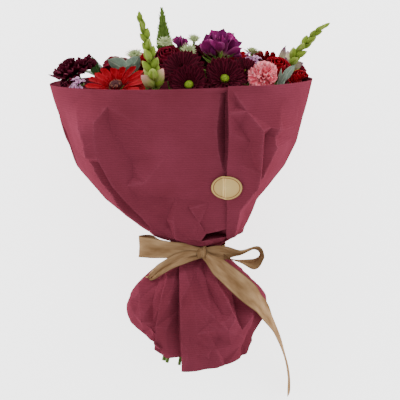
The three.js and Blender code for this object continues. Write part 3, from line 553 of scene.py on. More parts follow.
# Paper wrap
wrapProfile = [  # height, half width, half depth, shift to the side and depth of the pleats
    [-142, 58, 54, 2, 0.6], [-110, 66, 58, -4, 1.2], [-78, 83, 67, -3, 2.5], [-52, 75, 62, -3, 4.5],
    [-30, 50, 46, -2, 5], [-12, 31, 30, 0, 3], [-6, 25, 25, 0, 1.6], [6, 25, 25, 0, 1.6],
    [12, 38, 36, -3, 2.6], [20, 55, 50, -5, 3], [42, 76, 66, -16, 1.6], [58, 89, 76, -23, 0.8],
    [98, 123, 96, -23, 0], [126, 135, 105, -21, 0], [152, 143, 111, -22, 0], [205, 155, 119, -23, 0],
]
hemLine = [  # angle and height of the hem
    [95, -122], [118, -124], [128, -126], [135, -116], [150, -104], [170, -90], [190, -77], [215, -71],
    [270, -70], [320, -71], [340, -77], [360, -86], [372, -114], [385, -126], [405, -129], [425, -133],
    [450, -136], [478, -137],
]
creases = [  # angle of the middle, width in degrees, lowest and highest place and how far it stands out
    (140, 14, 30, 176, 5), (126, 13, 96, 168, -6), (46, 13, 70, 172, 4), (31, 13, 108, 170, -6),
    (168, 14, 90, 150, -4), (205, 16, 40, 150, 4), (250, 18, 60, 140, -4), (318, 16, 50, 150, -4),
    (345, 15, 50, 160, 4), (92, 24, 46, 84, 3), (10, 34, -114, -82, -14), (12, 30, -146, -112, -8),
]
paper = {
    "thick": 0.5, "pleats": 16, "overlap": 3.2, "edgeLift": 2, "rimY": 199, "hemY": -120,
    "skirtWave": 4.5, "skirtWaves": 7,  # how far the skirt swings in and out, and how many times
    "frontDepth": 0.9, "frontCorner": 0.24,  # the flatter front's depth, and how widely it turns at its sides
    "lapSpan": 25,  # degrees by which the sheet goes on past a full turn
    "cupEdgeX": 29, "skirtEdgeX": -24,  # where the free edge lies, above and below the tie
    "columns": 250, "rowSteps": 7, "planWidth": 760,  # the grid, and the flat width that it is laid out on
    "cutStep": 2.6, "clear": 1.1,  # steps along a fold, and how near one a grid point may come
}
crumples = {
    "low": -160, "high": 225, "bigWidth": 840, "bigSpacing": 50, "smallWidth": 640, "smallSpacing": 20,
    "bigTop": 230, "smallTop": 66, "cutLow": -170,  # their creases are cut into the sheet between these
}
hemShares = [1, 0.78, 0.56, 0.36, 0.2]  # rows of the skirt, as shares of the way down to the hem
cupHeights = [-7, 0, 7, 20, 42, 70, 98, 126, 155]  # rows of the cup

# Folds of the front, as lines of (x, y, how far the paper stands out) in mm. A fold of the inner layer
# shows to the left of the lap, one of the outer layer to the right of it.
frontFolds = {
    "leftCrease": [(-87, 197, 3), (-98, 179, 6), (-111, 161, 9), (-112, 141, 7), (-109, 120, 7)],
    "leftKnuckle": [(-109, 120, 7), (-134, 122, 4)],
    "leftLap": [(-109, 120, 7), (-93, 87, 8), (-81, 71, 8), (-67, 52, 6), (-55, 34, 3)],
    "underLeftLap": [(-112, 115, -1), (-97.5, 86, -7), (-85.5, 70, -7), (-71, 51, -5), (-58, 33, -2)],
    "leftValley": [(-101, 156, -3), (-92, 136, -9), (-80, 115, -10), (-77, 97, -6)],
    "lowRidge": [(-82, 88, 1), (-61, 92, 3), (-33, 94, 3), (6, 92, 1.5)],
    "lowValley": [(-72, 74, -1), (-56, 74, -3), (-28, 71, -3), (11, 66, -1)],
    "lowKnuckle": [(-30, 42, 4), (-36, 35, -3), (-47, 28, 3)],
    "lip": [(-40, 24, 4), (-24, 13, 8), (0, 10, 9), (20, 12, 7), (36, 21, 3)],
    "rightCrease": [(34, 197, 2), (48, 174, 5), (64, 152, 9), (64, 134, 7), (63, 102, 7), (60, 77, 5),
                    (55, 56, 2)],
    "underRightCrease": [(69, 131, 2), (68, 101, 1), (65, 76, 0)],
    "rightDent": [(64, 152, 9), (74, 147, -4), (90, 143, -2)],
    "rightDentTop": [(64, 152, 9), (78, 155, 1), (91, 151, 4), (106, 151, 5)],
}
frontFlats = [  # flat places between the folds, in the same terms
    (-156, 196, 0), (-153, 169, 0), (-120, 195, 2), (-149, 148, 0), (-143, 128, 0), (-124, 102, 0),
    (-108, 76, 0), (-92, 58, 0), (-75, 44, 0), (-55, 194, 0), (-21, 196, 0), (6, 194, 0), (-55, 152, 1),
    (-21, 152, 2), (6, 158, 1), (-39, 121, 2), (-3, 121, 1), (-56, 60, 1), (-39, 44, -2), (-12, 60, 3),
    (0, 40, 2), (77, 191, 0), (110, 201, 0), (99, 174, 0), (113, 174, 0), (91, 119, 1), (86, 132, 3),
    (106, 136, 1), (84, 96, 0), (40, 179, -1), (44, 156, -3), (55, 139, -1), (44, 113, -1), (58, 113, 1),
    (48, 85, -1), (38, 60, 2), (51, 49, 0), (-30, 4, 0), (-10, 4, 0), (10, 4, 0), (28, 4, 0),
]
innerFolds = {
    "besideSeam": [(23, 194, 0), (21, 174, 1), (19, 152, 1), (21, 128, 1), (27, 106, 0)],
    "underSeam": [(30, 194, -3), (31, 172, -7), (32, 150, -9), (32, 128, -7), (31, 104, -1)],
    "towardMouth": [(-14, 63, 0), (-2, 42, 4), (6, 27, 5)],
    "mouthTop": [(0, 17, 6), (6, 27, 7), (31, 33, 5)],
    "mouthDeep": [(4.5, 19, -12), (8.5, 25, -20), (30, 31, -20)],
    "mouthDeepLow": [(4.5, 19, -12), (12.5, 21.4, -20), (21, 22, -20), (31, 22.8, -20)],
    "mouthLow": [(0, 17, 6), (12.3, 19.6, 6), (20.6, 20.2, 5), (33, 21, 4)],
    "besideFlap": [(-28, -7, -2), (-29, -34, -6), (-28, -64, -8), (-27, -95, -8), (-26, -125, -6)],
    "panelFold": [(-37, -28, 3), (-43, -52, 6), (-48, -82, 7), (-49, -115, 6)],
    "underPanel": [(-42, -30, -2), (-49, -56, -6), (-54, -84, -7), (-55, -110, -5)],
    "leftRidge": [(-58, -14, 3), (-63, -38, 7), (-70, -62, 6), (-67, -82, 3)],
    "leftKink": [(-47, -16, -4), (-52, -30, -5)],
    "leftHollow": [(-53, -36, -6), (-60, -58, -8), (-59, -80, -5)],
}
innerFlats = [
    (-35, -55, 1), (-38, -84, 2), (-38, -115, 1), (-79, -50, 0), (-82, -74, 0), (-70, -98, -1),
    (-61, -107, 0),
]
outerFolds = {
    "seamEdge": [(28, 194, 1), (30, 172, 4), (31, 150, 5), (30, 128, 4), (30, 104, 1)],
    "flapEdge": [(-24, -7, 3), (-22, -34, 6), (-21, -64, 8), (-19, -95, 8), (-17.5, -132, 6)],
    "flapValley": [(2, -5, -2), (8, -30, -8), (17, -50, -8), (26, -67, -4)],
    "flapRidge": [(12, -7, 4), (18, -33, 8), (29, -52, 8), (38, -72, 5)],
    "gap": [(37, -24, -5), (44, -40, -13), (49, -60, -15), (47, -74, -7)],
    "rightRidge": [(52, -34, 2), (61, -50, 5), (56, -73, 6), (47, -89, 3)],
    "star1": [(30, -85, 6), (16, -84, 4)],
    "star2": [(30, -85, 6), (18, -72, 3)],
    "star3": [(30, -85, 6), (35, -107, 2)],
    "star4": [(30, -85, 6), (45, -97, 5)],
}
outerFlats = [
    (-9, -9, 1), (-10, -33, 2), (-1, -52, 3), (-5, -89, 4), (0, -115, 3), (18, -130, 2), (7, -79, 0),
    (22, -98, -2), (13, -113, 3), (72, -43, 0), (77, -58, 0), (59, -96, 0), (54, -115, 0), (68, -74, 0),
]


# The profile at a height: half width, half depth, shift and depth of the pleats, with its corners softened
# away from the tie
def wrapAt(y):
    soft = 9 * smoothStep(-18, -42, y) + 2 * smoothStep(18, 42, y)
    around = [along(wrapProfile, y + soft * k) for k in (-1, -0.5, 0, 0.5, 1)]
    return [sum(found) / len(around) for found in zip(*around)]


# The angle at which the free edge of the lap lies, at a height
def lapEdge(y):
    def edgeAngle(x):
        halfWidth, _, shift, _ = wrapAt(y)
        return np.degrees(np.arccos(np.clip((x - shift) / halfWidth, -0.6, 0.75)))

    share = smoothStep(-16, 16, y)
    skirtX = paper["skirtEdgeX"] - 0.04 * np.minimum(y, 0)
    return 360 + edgeAngle(skirtX) * (1 - share) + edgeAngle(paper["cupEdgeX"]) * share


def paperAngle(share, y):
    return lapEdge(y) - (1 - share) * (360 + paper["lapSpan"])


# Long creases and dents all round the paper, apart from those of the front
def creaseField(angle, y):
    out = np.zeros(np.shape(angle))
    for middleAngle, wide, low, high, amount in creases:
        away = np.abs((angle - middleAngle + 540) % 360 - 180) / wide
        middle = (low + high) / 2
        reach = np.abs(y - middle) / (high - middle)
        inside = (away < 1) & (reach < 1)
        out += np.where(inside, amount * (1 - away) * np.minimum(1, 2 * (1 - reach)), 0)
    return out


planReach = 400  # every plan goes on this far, well past the sheet
sheetReach = 230  # nothing of the sheet is further out than this


# A plane of flat facets between points at given heights, with fold lines kept as edges
def facetPlan(spots, lifts, edges=()):
    made = delaunay_2d_cdt([Vector(p) for p in spots], list(edges), [], 0, 1e-4)
    nodes = np.array([tuple(v) for v in made[0]])
    given = np.array(spots)
    nodeLift = np.array([lifts[group[0]] if group else lifts[np.argmin(((given - node) ** 2).sum(1))]
                         for node, group in zip(nodes, made[3])])
    return {"nodes": nodes, "lift": nodeLift, "edges": made[1], "triangles": made[2]}


# The height of a plan at many places
def planHeight(plan, x, y):
    out = np.zeros(x.size)
    order = np.argsort(x)
    sortedX, sortedY = x[order], y[order]
    for triangle in plan["triangles"]:
        p = plan["nodes"][list(triangle)]
        begin, finish = np.searchsorted(sortedX, [p[:, 0].min() - 1e-6, p[:, 0].max() + 1e-6])
        px, py = sortedX[begin:finish], sortedY[begin:finish]
        (ax, ay), (bx, by), (cx, cy) = p
        area = (bx - ax) * (cy - ay) - (by - ay) * (cx - ax)
        u = ((px - ax) * (cy - ay) - (py - ay) * (cx - ax)) / area
        v = ((bx - ax) * (py - ay) - (by - ay) * (px - ax)) / area
        inside = (u >= -1e-6) & (v >= -1e-6) & (u + v <= 1 + 1e-6)
        a, b, c = plan["lift"][list(triangle)]
        out[order[begin:finish][inside]] = (a + u * (b - a) + v * (c - a))[inside]
    return out


# Crumpled paper between seeded points, the same at both ends of the turn
def crumplePlan(width, spacing, seed):
    random = np.random.default_rng(seed)
    low, high = crumples["low"], crumples["high"]
    count = int(width * (high - low) / spacing**2)
    spots = np.stack([random.uniform(0, width, count), random.uniform(low, high, count)], 1)
    lifts = random.uniform(-1, 1, count)
    spots = np.concatenate([spots - [width, 0], spots, spots + [width, 0]])
    keep = (spots[:, 0] > -2.5 * spacing) & (spots[:, 0] < width + 2.5 * spacing)
    spots, lifts = spots[keep], np.tile(lifts, 3)[keep]
    left, right, bottom, top = -planReach, width + planReach, low - 90, high + 90
    corners = np.array([[left, bottom], [right, bottom], [right, top], [left, top]])
    return facetPlan(np.concatenate([spots, corners]), np.concatenate([lifts, np.zeros(4)]))


def foldPlan(folds, flats):
    spots, lifts, edges = [], [], []
    for line in folds:
        edges += [(len(spots) + k, len(spots) + k + 1) for k in range(len(line) - 1)]
        spots += [point[:2] for point in line]
        lifts += [point[2] for point in line]
    corners = [(x * planReach, y * planReach, 0) for x, y in ((-1, -1), (1, -1), (1, 1), (-1, 1))]
    for point in [*flats, *corners]:
        spots.append(point[:2])
        lifts.append(point[2])
    return facetPlan(spots, lifts, edges)


bigPlan = crumplePlan(crumples["bigWidth"], crumples["bigSpacing"], 4)
smallPlan = crumplePlan(crumples["smallWidth"], crumples["smallSpacing"], 9)
innerPlan = foldPlan([*frontFolds.values(), *innerFolds.values()], frontFlats + innerFlats)
outerPlan = foldPlan([*frontFolds.values(), *outerFolds.values()], frontFlats + outerFlats)
# Height along the paper and depth of the crumples there
bigDepths = [[-142, 5.5], [-60, 6], [-30, 3.5], [-8, 0.4], [8, 0.4], [24, 1.8], [60, 2.4], [120, 2.2],
             [170, 1.6], [200, 1.0]]
smallDepths = [[-142, 2.2], [-60, 2.6], [-30, 2.2], [-8, 0.4], [8, 0.3], [24, 1.6], [60, 0.9], [100, 0.25],
               [205, 0.1]]


# The sheet: where it is for a share of the way round and a height
def sheetPoint(share, y):
    angle = paperAngle(share, y)
    turn = np.radians(angle)
    halfWidth, halfDepth, shift, pleatDepth = wrapAt(y)
    c, s = np.cos(turn), np.sin(turn)
    # the folded front is flatter than a round one
    folded = smoothStep(184, 142, y) * smoothStep(6, 40, y)
    flatFront = paper["frontDepth"] * np.minimum(1, (1 - np.abs(c)) / paper["frontCorner"])
    front = np.where(s > 0, s + (flatFront - s) * folded, s)
    atFront = smoothStep(0.02, 0.3, s)
    # the skirt swings in and out, the lap covers a deeper layer, and its free edge stands off a little
    swing = np.sin(paper["skirtWaves"] * turn + 0.6)
    wave = smoothStep(-20, -64, y) * paper["skirtWave"] * swing * (1 - 0.75 * atFront)
    under = -paper["overlap"] * (1 - smoothStep(4, 28, angle - lapEdge(y) + 360))
    lifted = paper["edgeLift"] * smoothStep(20, 90, y) * (1 - smoothStep(0, 28, lapEdge(y) - angle))
    # pleats, crumples and folds
    turns = share * paper["pleats"]
    zigzag = 4 * np.abs(turns - np.floor(turns + 0.5)) - 1
    partTurn = np.mod(angle, 360) / 360
    big = planHeight(bigPlan, partTurn * crumples["bigWidth"], y) * along(bigDepths, y)[0]
    small = planHeight(smallPlan, partTurn * crumples["smallWidth"], y) * along(smallDepths, y)[0]
    x = c * halfWidth + shift
    folds = np.where(share < 0.5, planHeight(innerPlan, x, y), planHeight(outerPlan, x, y))
    folds = folds * atFront * np.maximum(smoothStep(-3, -12, y), smoothStep(5, 9, y))
    push = pleatDepth * zigzag * (1 - 0.5 * atFront) + creaseField(angle, y) * (1 - atFront)
    push = push + wave + under + lifted
    calm = atFront * smoothStep(-24, -6, y)
    push = push + big * (1 - 0.6 * atFront) + small * (1.15 - 0.5 * calm) + folds
    return np.stack([c * (halfWidth + push) + shift, y, front * halfDepth + s * push], axis=1)


def hemHeight(share):
    return along(hemLine, paperAngle(share, paper["hemY"]))[0]


def rimHeight(share):
    turn = np.radians(paperAngle(share, paper["rimY"]))
    return paper["rimY"] + 3 * np.cos(turn) + 2 * smoothStep(0.93, 1, share)


# Edges of the facets, cut into short steps on the flat sheet, so that the folds come out crisp
def foldCuts():
    cuts = []

    def cut(p, q, sharesOf):
        count = max(2, int(np.hypot(*(q - p)) / paper["cutStep"]) + 1)
        spots = p + (q - p) * np.linspace(0, 1, count)[:, None]
        for share in sharesOf(spots):
            y = spots[:, 1]
            inside = (share > 0.004) & (share < 0.996)  # a little way in from every edge of the sheet
            inside &= (y > hemHeight(share) + 1) & (y < rimHeight(share) - 1)
            cuts.append((np.stack([share * paper["planWidth"], y], 1), inside))

    def shareOf(angle, y):
        return 1 - (lapEdge(y) - angle) / (360 + paper["lapSpan"])

    for plan, layer in ((innerPlan, 0), (outerPlan, 1)):
        def frontShares(spots, layer=layer):
            halfWidth, _, shift, _ = wrapAt(spots[:, 1])
            ratio = (spots[:, 0] - shift) / halfWidth
            angle = np.degrees(np.arccos(np.clip(ratio, -1, 1))) + 360 * layer
            return [np.where(np.abs(ratio) < 0.98, shareOf(angle, spots[:, 1]), -1)]

        for a, b in plan["edges"]:
            p, q = plan["nodes"][a], plan["nodes"][b]
            onSheet = max(np.abs(p).max(), np.abs(q).max()) < sheetReach
            if onSheet and (plan["lift"][a] or plan["lift"][b]):
                cut(p, q, frontShares)
    for plan, width, top in ((bigPlan, crumples["bigWidth"], crumples["bigTop"]),
                             (smallPlan, crumples["smallWidth"], crumples["smallTop"])):
        def roundShares(spots, width=width):
            angle = spots[:, 0] / width * 360
            return [shareOf(angle + extra, spots[:, 1]) for extra in (0, 360)]

        for a, b in plan["edges"]:
            p, q = plan["nodes"][a], plan["nodes"][b]
            onSheet = max(p[1], q[1]) < top and min(p[1], q[1]) > crumples["cutLow"]
            if onSheet and min(p[0], q[0]) > -width / 2:
                cut(p, q, roundShares)
    return cuts


def paperSheet():
    # the front of the sheet has the finer columns
    spread = np.linspace(0, 1, paper["columns"])
    shares = np.interp(spread, [0, 0.47, 0.72, 1], [0, 0.37, 0.78, 1])
    hem, rim = hemHeight(shares), rimHeight(shares)
    table = np.stack([hem * k for k in hemShares] + [h + 0 * shares for h in cupHeights] + [rim])
    rows = np.arange((len(table) - 1) * paper["rowSteps"] + 1) / paper["rowSteps"]
    y = np.stack([np.interp(rows, np.arange(len(table)), table[:, c]) for c in range(len(shares))], axis=1)
    plan = np.stack([np.broadcast_to(shares * paper["planWidth"], y.shape), y], 2)
    index = np.arange(y.size).reshape(y.shape)
    outline = rimOf(index)
    cuts = foldCuts()
    near = KDTree(sum(int(inside.sum()) for _, inside in cuts))
    spots, edges = [], []
    for line, inside in cuts:
        for k in range(len(line)):
            if inside[k]:
                near.insert((*line[k], 0), len(spots))
                spots.append(tuple(line[k]))
                if k and inside[k - 1]:
                    edges.append((len(spots) - 2, len(spots) - 1))
    near.balance()
    inner = [p for p in plan[1:-1, 1:-1].reshape(-1, 2) if near.find((*p, 0))[2] > paper["clear"]]
    first = len(spots)
    spots += [tuple(p) for p in plan.reshape(-1, 2)[outline]]
    edges += [(first + k, first + (k + 1) % len(outline)) for k in range(len(outline))]
    spots += [tuple(p) for p in inner]
    made = delaunay_2d_cdt([Vector(p) for p in spots], edges, [], 1, 0.05, False)
    flat = np.array([tuple(v) for v in made[0]])
    share, y = flat[:, 0] / paper["planWidth"], flat[:, 1]
    triangles = np.array(made[2])[:, ::-1]
    for edgeHeight in (hemHeight(share), rimHeight(share)):  # drops what lies past a hollow edge of the sheet
        triangles = triangles[~(np.abs(y - edgeHeight) < 0.02)[triangles].all(1)]
    return share, y, triangles


# Lifts what would lie lower than a height over the table
def aboveTable(points, height):
    below = np.minimum(0, points[..., 2] * cosTilt + points[..., 1] * sinTilt + lie["lift"] - height)
    points[..., 2] -= below * cosTilt
    points[..., 1] -= below * sinTilt
    return points


def pointNormals(points, triangles):
    a, b, c = (points[triangles[:, k]] for k in range(3))
    facing = np.cross(b - a, c - a)
    normals = np.zeros(points.shape)
    for k in range(3):
        np.add.at(normals, triangles[:, k], facing)
    return normals / np.maximum(np.linalg.norm(normals, axis=1, keepdims=True), 1e-9)


def pairsOf(triangles):
    return np.concatenate([triangles[:, [0, 1]], triangles[:, [1, 2]], triangles[:, [2, 0]]])


# How much each point stands out from its neighbours: above 0 on a ridge, below 0 in a hollow
def ridgeOf(points, triangles, normals):
    pairs = pairsOf(triangles)
    total, reach = np.zeros(points.shape), np.zeros(len(points))
    step = points[pairs[:, 1]] - points[pairs[:, 0]]
    np.add.at(total, pairs[:, 0], step)
    np.add.at(reach, pairs[:, 0], np.linalg.norm(step, axis=1))
    return -(total * normals).sum(1) / np.maximum(reach, 1e-6)


# Closed thin sheet from triangles
def sheetOf(name, points, triangles, thick, uv, material, values):
    normals = pointNormals(points, triangles)
    count = len(points)
    both = np.concatenate([points + normals * thick / 2, points - normals * thick / 2])
    pairs = pairsOf(triangles)
    key = np.sort(pairs, axis=1)
    _, where, uses = np.unique(key[:, 0] * count + key[:, 1], return_index=True, return_counts=True)
    rim = pairs[where[uses == 1]]
    faces = [tuple(f) for f in triangles] + [tuple(f + count) for f in triangles[:, ::-1]]
    faces += [(b, a, a + count, b + count) for a, b in rim]
    doubled = {key: np.concatenate([value, value]) for key, value in values.items()}
    return meshOf(name, both, faces, np.concatenate([uv, uv]), material, doubled)


paperShare, paperY, paperTriangles = paperSheet()
paperMid = aboveTable(sheetPoint(paperShare, paperY), paper["thick"] / 2 + 0.02)
paperUV = np.stack([paperAngle(paperShare, paperY) / 360 * 0.7, paperY * 0.001], axis=1)
paperRidge = ridgeOf(paperMid, paperTriangles, pointNormals(paperMid, paperTriangles))
# the ridge mask makes the paper paler along convex crease ridges: partly wear, partly painted highlight
paperMesh = sheetOf("paperWrap", paperMid, paperTriangles, paper["thick"], paperUV, "kraft",
                    {"ridgeWearAndSheen": np.clip(paperRidge * 5 - 0.2, 0, 1)})
paperPoints = aboveTable(pointsOf(paperMesh), 0.0)
paperPiece = placePiece("paper_wrap_sheet", paperMesh, paperPoints, ["paper_wrap"], 12)


def wayLength(points):
    return np.linalg.norm(np.diff(points, axis=0), axis=1).sum() * 0.001


paperSteps = {"round": 400, "ways": 25, "down": 160}  # for measuring it


# The sheet is as wide as the girth of the rim and as long as its longest way from rim to hem
def paperSize():
    shares = np.linspace(0, 1, paperSteps["round"])
    girth = wayLength(sheetPoint(shares, rimHeight(shares)))
    lengths = []
    for share in np.linspace(0, 1, paperSteps["ways"]):
        y = np.linspace(hemHeight(share), rimHeight(share), paperSteps["down"])
        lengths.append(wayLength(sheetPoint(np.full(len(y), share), y)))
    corners = [paperMid[paperTriangles[:, k]] for k in range(3)]
    area = np.linalg.norm(np.cross(corners[1] - corners[0], corners[2] - corners[0]), axis=1).sum() / 2 * 1e-6
    return (girth, max(lengths)), area


paperFlat, paperArea = paperSize()
print("paper wrap made, flat size in m", [round(float(v), 3) for v in paperFlat],
      "triangles", len(paperMesh.polygons))


def gridArea(grid):
    facing = np.cross(grid[1:, 1:] - grid[:-1, :-1], grid[1:, :-1] - grid[:-1, 1:])
    return np.linalg.norm(facing, axis=2).sum() / 2 * 1e-6


ribbon = {
    "width": 25.0, "thick": 0.45, "columns": 9, "stepsEach": 9, "bandRadius": 29.6,
    "sag": 0.06, "wave": 0.5, "waveLength": 9,
    "foldDepth": 0.4, "flatFolds": 0.25, "gatheredFolds": 2.6,  # lengthwise folds: flat or gathered ribbon
}


# A strip of ribbon through its stations, gathered into small folds where it is narrow
def stripAround(stations, wave, seed):
    at, across, wide = (np.array(part, float) for part in zip(*stations))
    ends = np.concatenate([[2 * at[0] - at[1]], at, [2 * at[-1] - at[-2]]])
    places = np.linspace(0, len(at) - 1, len(at) * ribbon["stepsEach"])
    k = np.minimum(len(at) - 2, places.astype(int))
    t = (places - k)[:, None]
    p0, p1, p2, p3 = ends[k], ends[k + 1], ends[k + 2], ends[k + 3]
    path = 0.5 * (2 * p1 + (p2 - p0) * t + (2 * p0 - 5 * p1 + 4 * p2 - p3) * t**2
                  + (3 * p1 - p0 - 3 * p2 + p3) * t**3)
    way = np.gradient(path, axis=0)
    way /= np.linalg.norm(way, axis=1, keepdims=True)
    ease = t * t * (3 - 2 * t)
    side = across[k] * (1 - ease) + across[k + 1] * ease
    side -= way * (side * way).sum(1, keepdims=True)
    side /= np.linalg.norm(side, axis=1, keepdims=True)
    half = (wide[k] * (1 - ease[:, 0]) + wide[k + 1] * ease[:, 0]) * ribbon["width"] / 2
    normal = np.cross(way, side)
    s = np.linspace(-1, 1, ribbon["columns"])
    gathered = np.clip(1 - half / (ribbon["width"] / 2), 0, 1)
    random = np.random.default_rng(seed)
    folds = sum(random.uniform(0.5, 1) * np.sin(s[None, :] * n * math.pi + random.uniform(0, 6))
                for n in (1, 2, 3))
    length = np.concatenate([[0], np.cumsum(np.linalg.norm(np.diff(path, axis=0), axis=1))])
    lift = -ribbon["sag"] * half[:, None] * s[None, :] ** 2
    depth = ribbon["flatFolds"] + ribbon["gatheredFolds"] * gathered
    lift = lift + depth[:, None] * ribbon["foldDepth"] * folds
    lift = lift + wave * np.sin(length / ribbon["waveLength"])[:, None] * (0.4 + 0.6 * s[None, :])
    grid = path[:, None, :] + side[:, None, :] * (half[:, None] * s)[..., None]
    grid = grid + normal[:, None, :] * lift[..., None]
    uv = np.stack([np.broadcast_to((s + 1) / 2, lift.shape),
                   np.broadcast_to(length[:, None] * 0.001, lift.shape)], 2)
    thick = np.full(lift.shape, ribbon["thick"])
    return shellOf("strip", grid, -gridNormals(grid), thick, uv, "satin"), length[-1], grid


up = (0, 1, 0)
bandTurns = [math.radians(88 + 29.6 * k) for k in range(13)]
knotTurns = np.linspace(0.3, 2 * math.pi + 0.1, 12)
# Each station is its place, the way across the ribbon there and how much of its width is spread
bow = {
    "band": [((ribbon["bandRadius"] * math.cos(a), 0, ribbon["bandRadius"] * math.sin(a)), up, 0.36)
             for a in bandTurns],
    "leftLoop": [
        ((1, 2, 37), up, 0.4), ((-28, 6, 47), (0, 1, 0.25), 0.85), ((-60, 9, 47), (0, 1, 0.1), 1),
        ((-71, 9, 40), up, 1), ((-60, 9, 34), up, 1), ((-42, 6, 37), (0, 1, 0.3), 0.75),
        ((0, 2, 36), up, 0.4)],
    "rightLoop": [
        ((3, 2, 37), up, 0.4), ((23, 2, 41), (0.2, 1, 0.2), 0.7), ((46, 0, 38), (0.2, 0.5, 0.9), 0.85),
        ((65, 4, 29), (0.15, 0.42, 0.9), 0.85), ((73, -6, 25), (0.25, 0.05, 0.97), 0.75),
        ((62, -15, 27), (0.2, -0.35, 0.9), 0.85), ((41, -9, 34), (0.1, 0.1, 1), 0.8), ((6, 0, 36), up, 0.4)],
    "leftTail": [
        ((1, -1, 37), up, 0.4), ((-22, -4, 46), (-0.2, 1, 0.1), 0.62),
        ((-42, -15, 42), (-0.4, 0.8, 0.2), 0.56), ((-54, -27, 31), (-0.5, 0.75, 0.2), 0.42),
        ((-60, -35, 17), (-0.4, 0.85, 0.2), 0.26), ((-64, -39, -2), (-0.2, 0.95, 0.1), 0.22),
        ((-63, -45, -26), (-0.1, 0.95, 0), 0.32), ((-54, -50, -48), (0.1, 0.9, 0.1), 0.5),
        ((-43, -52, -61), (0.2, 0.9, 0.2), 0.7)],
    "rightTail": [
        ((5, -1, 39), (0.3, 1, 0), 0.4), ((25, -16, 52), (0.6, 0.8, 0.1), 0.9),
        ((50, -37, 56), (0.75, 0.75, -0.3), 1), ((72, -62, 40), (0.42, 0.3, -0.86), 1),
        ((89, -94, 12), (0.16, 0.06, -0.98), 1),
        ((102, -130, -12), (0.06, 0.02, -1), 1), ((110, -164, -26), (0.12, 0.01, -1), 1),
        ((111.5, -193, -27), (0.2, 0.02, -0.98), 1)],
    "knot": [((2, 1 + 7 * math.cos(a), 34.6 + 6.6 * math.sin(a)), (1, 0.2, 0), 0.42) for a in knotTurns],
}
bowParts, bowLengths, bowArea = [], {}, 0
for seed, (name, stations) in enumerate(bow.items(), 3):
    wave = 0.0 if name == "band" else ribbon["wave"]  # the band lies flat on the paper
    part, length, grid = stripAround(stations, wave, seed)
    bowParts.append(part)
    bowLengths[name] = length
    bowArea += gridArea(grid)
bowMesh = joined("satinBow", bowParts)
bowPiece = placePiece("satin_bow", bowMesh, pointsOf(bowMesh), ["ribbon"])
print("bow made, ribbon length in mm", {key: round(value) for key, value in bowLengths.items()})


# Plain gold seal, pressed over the step of the paper's free edge
seal = {
    "at": (30, 85), "halfWide": 17.5, "halfTall": 14.4, "thick": 0.5, "gap": 0.3,
    "border": 0.35, "borderAt": 0.85, "borderWide": 0.035,  # how high, how far out and how wide it is
    "middle": 0.02, "rings": 14, "sides": 72, "gridHalf": 24, "gridStep": 1.5,
}


def paperFront():
    faces = [tuple(f.vertices) for f in paperMesh.polygons]
    tree = BVHTree.FromPolygons([tuple(p) for p in paperPoints], faces)

    def height(x, y):
        hit = tree.ray_cast(Vector((x, y, 400)), Vector((0, 0, -1)))
        return hit[0].z

    return height


def makeSeal():
    front = paperFront()
    middleX, middleY = seal["at"]
    steps = np.arange(-seal["gridHalf"], seal["gridHalf"] + 1, seal["gridStep"])
    ground = np.array([[front(middleX + dx, middleY + dy) for dx in steps] for dy in steps])
    raised = ground.copy()
    for dy in (-1, 0, 1):
        for dx in (-1, 0, 1):
            raised = np.maximum(raised, np.roll(ground, (dy, dx), (0, 1)))
    for _ in range(2):  # eases the seal over the steps of the paper
        around = [np.roll(raised, way, axis) for axis in (0, 1) for way in (1, -1)]
        raised = np.maximum(raised, (raised + sum(around)) / 5)
    share = np.linspace(seal["middle"], 1, seal["rings"])[:, None]
    turn = np.linspace(0, 2 * math.pi, seal["sides"], endpoint=False)[None, :]
    dx = share * seal["halfWide"] * np.cos(turn)
    dy = share * seal["halfTall"] * np.sin(turn)
    col = (dx - steps[0]) / seal["gridStep"]
    row = (dy - steps[0]) / seal["gridStep"]
    c0, r0 = col.astype(int), row.astype(int)
    fc, fr = col - c0, row - r0
    z = ((raised[r0, c0] * (1 - fc) + raised[r0, c0 + 1] * fc) * (1 - fr)
         + (raised[r0 + 1, c0] * (1 - fc) + raised[r0 + 1, c0 + 1] * fc) * fr)
    z = z + seal["gap"]
    border = seal["border"] * np.exp(-(((share - seal["borderAt"]) / seal["borderWide"]) ** 2))
    top = np.stack([dx + middleX, dy + middleY, z + seal["thick"] + border], 2)
    bottom = np.stack([dx + middleX, dy + middleY, z], 2)
    rings, sides = seal["rings"], seal["sides"]
    points = np.concatenate([top.reshape(-1, 3), bottom.reshape(-1, 3)])
    under = rings * sides
    faces = []
    for r in range(rings - 1):
        for k in range(sides):
            after = (k + 1) % sides
            a, b, c, d = r * sides + k, r * sides + after, (r + 1) * sides + after, (r + 1) * sides + k
            faces += [(a, d, c, b), (a + under, b + under, c + under, d + under)]
    last = (rings - 1) * sides
    for k in range(sides):
        after = (k + 1) % sides
        faces.append((last + k, last + k + under, last + after + under, last + after))
    faces += [tuple(range(sides)), tuple(under + k for k in reversed(range(sides)))]
    uv = np.concatenate([np.stack([share + 0 * turn, turn / 6.3 + 0 * share], 2).reshape(-1, 2)] * 2)
    mesh = meshOf("goldSeal", points, faces, uv, "seal")
    placePiece("gold_seal", mesh, points, ["seal_sticker"])


makeSeal()
print("seal made")

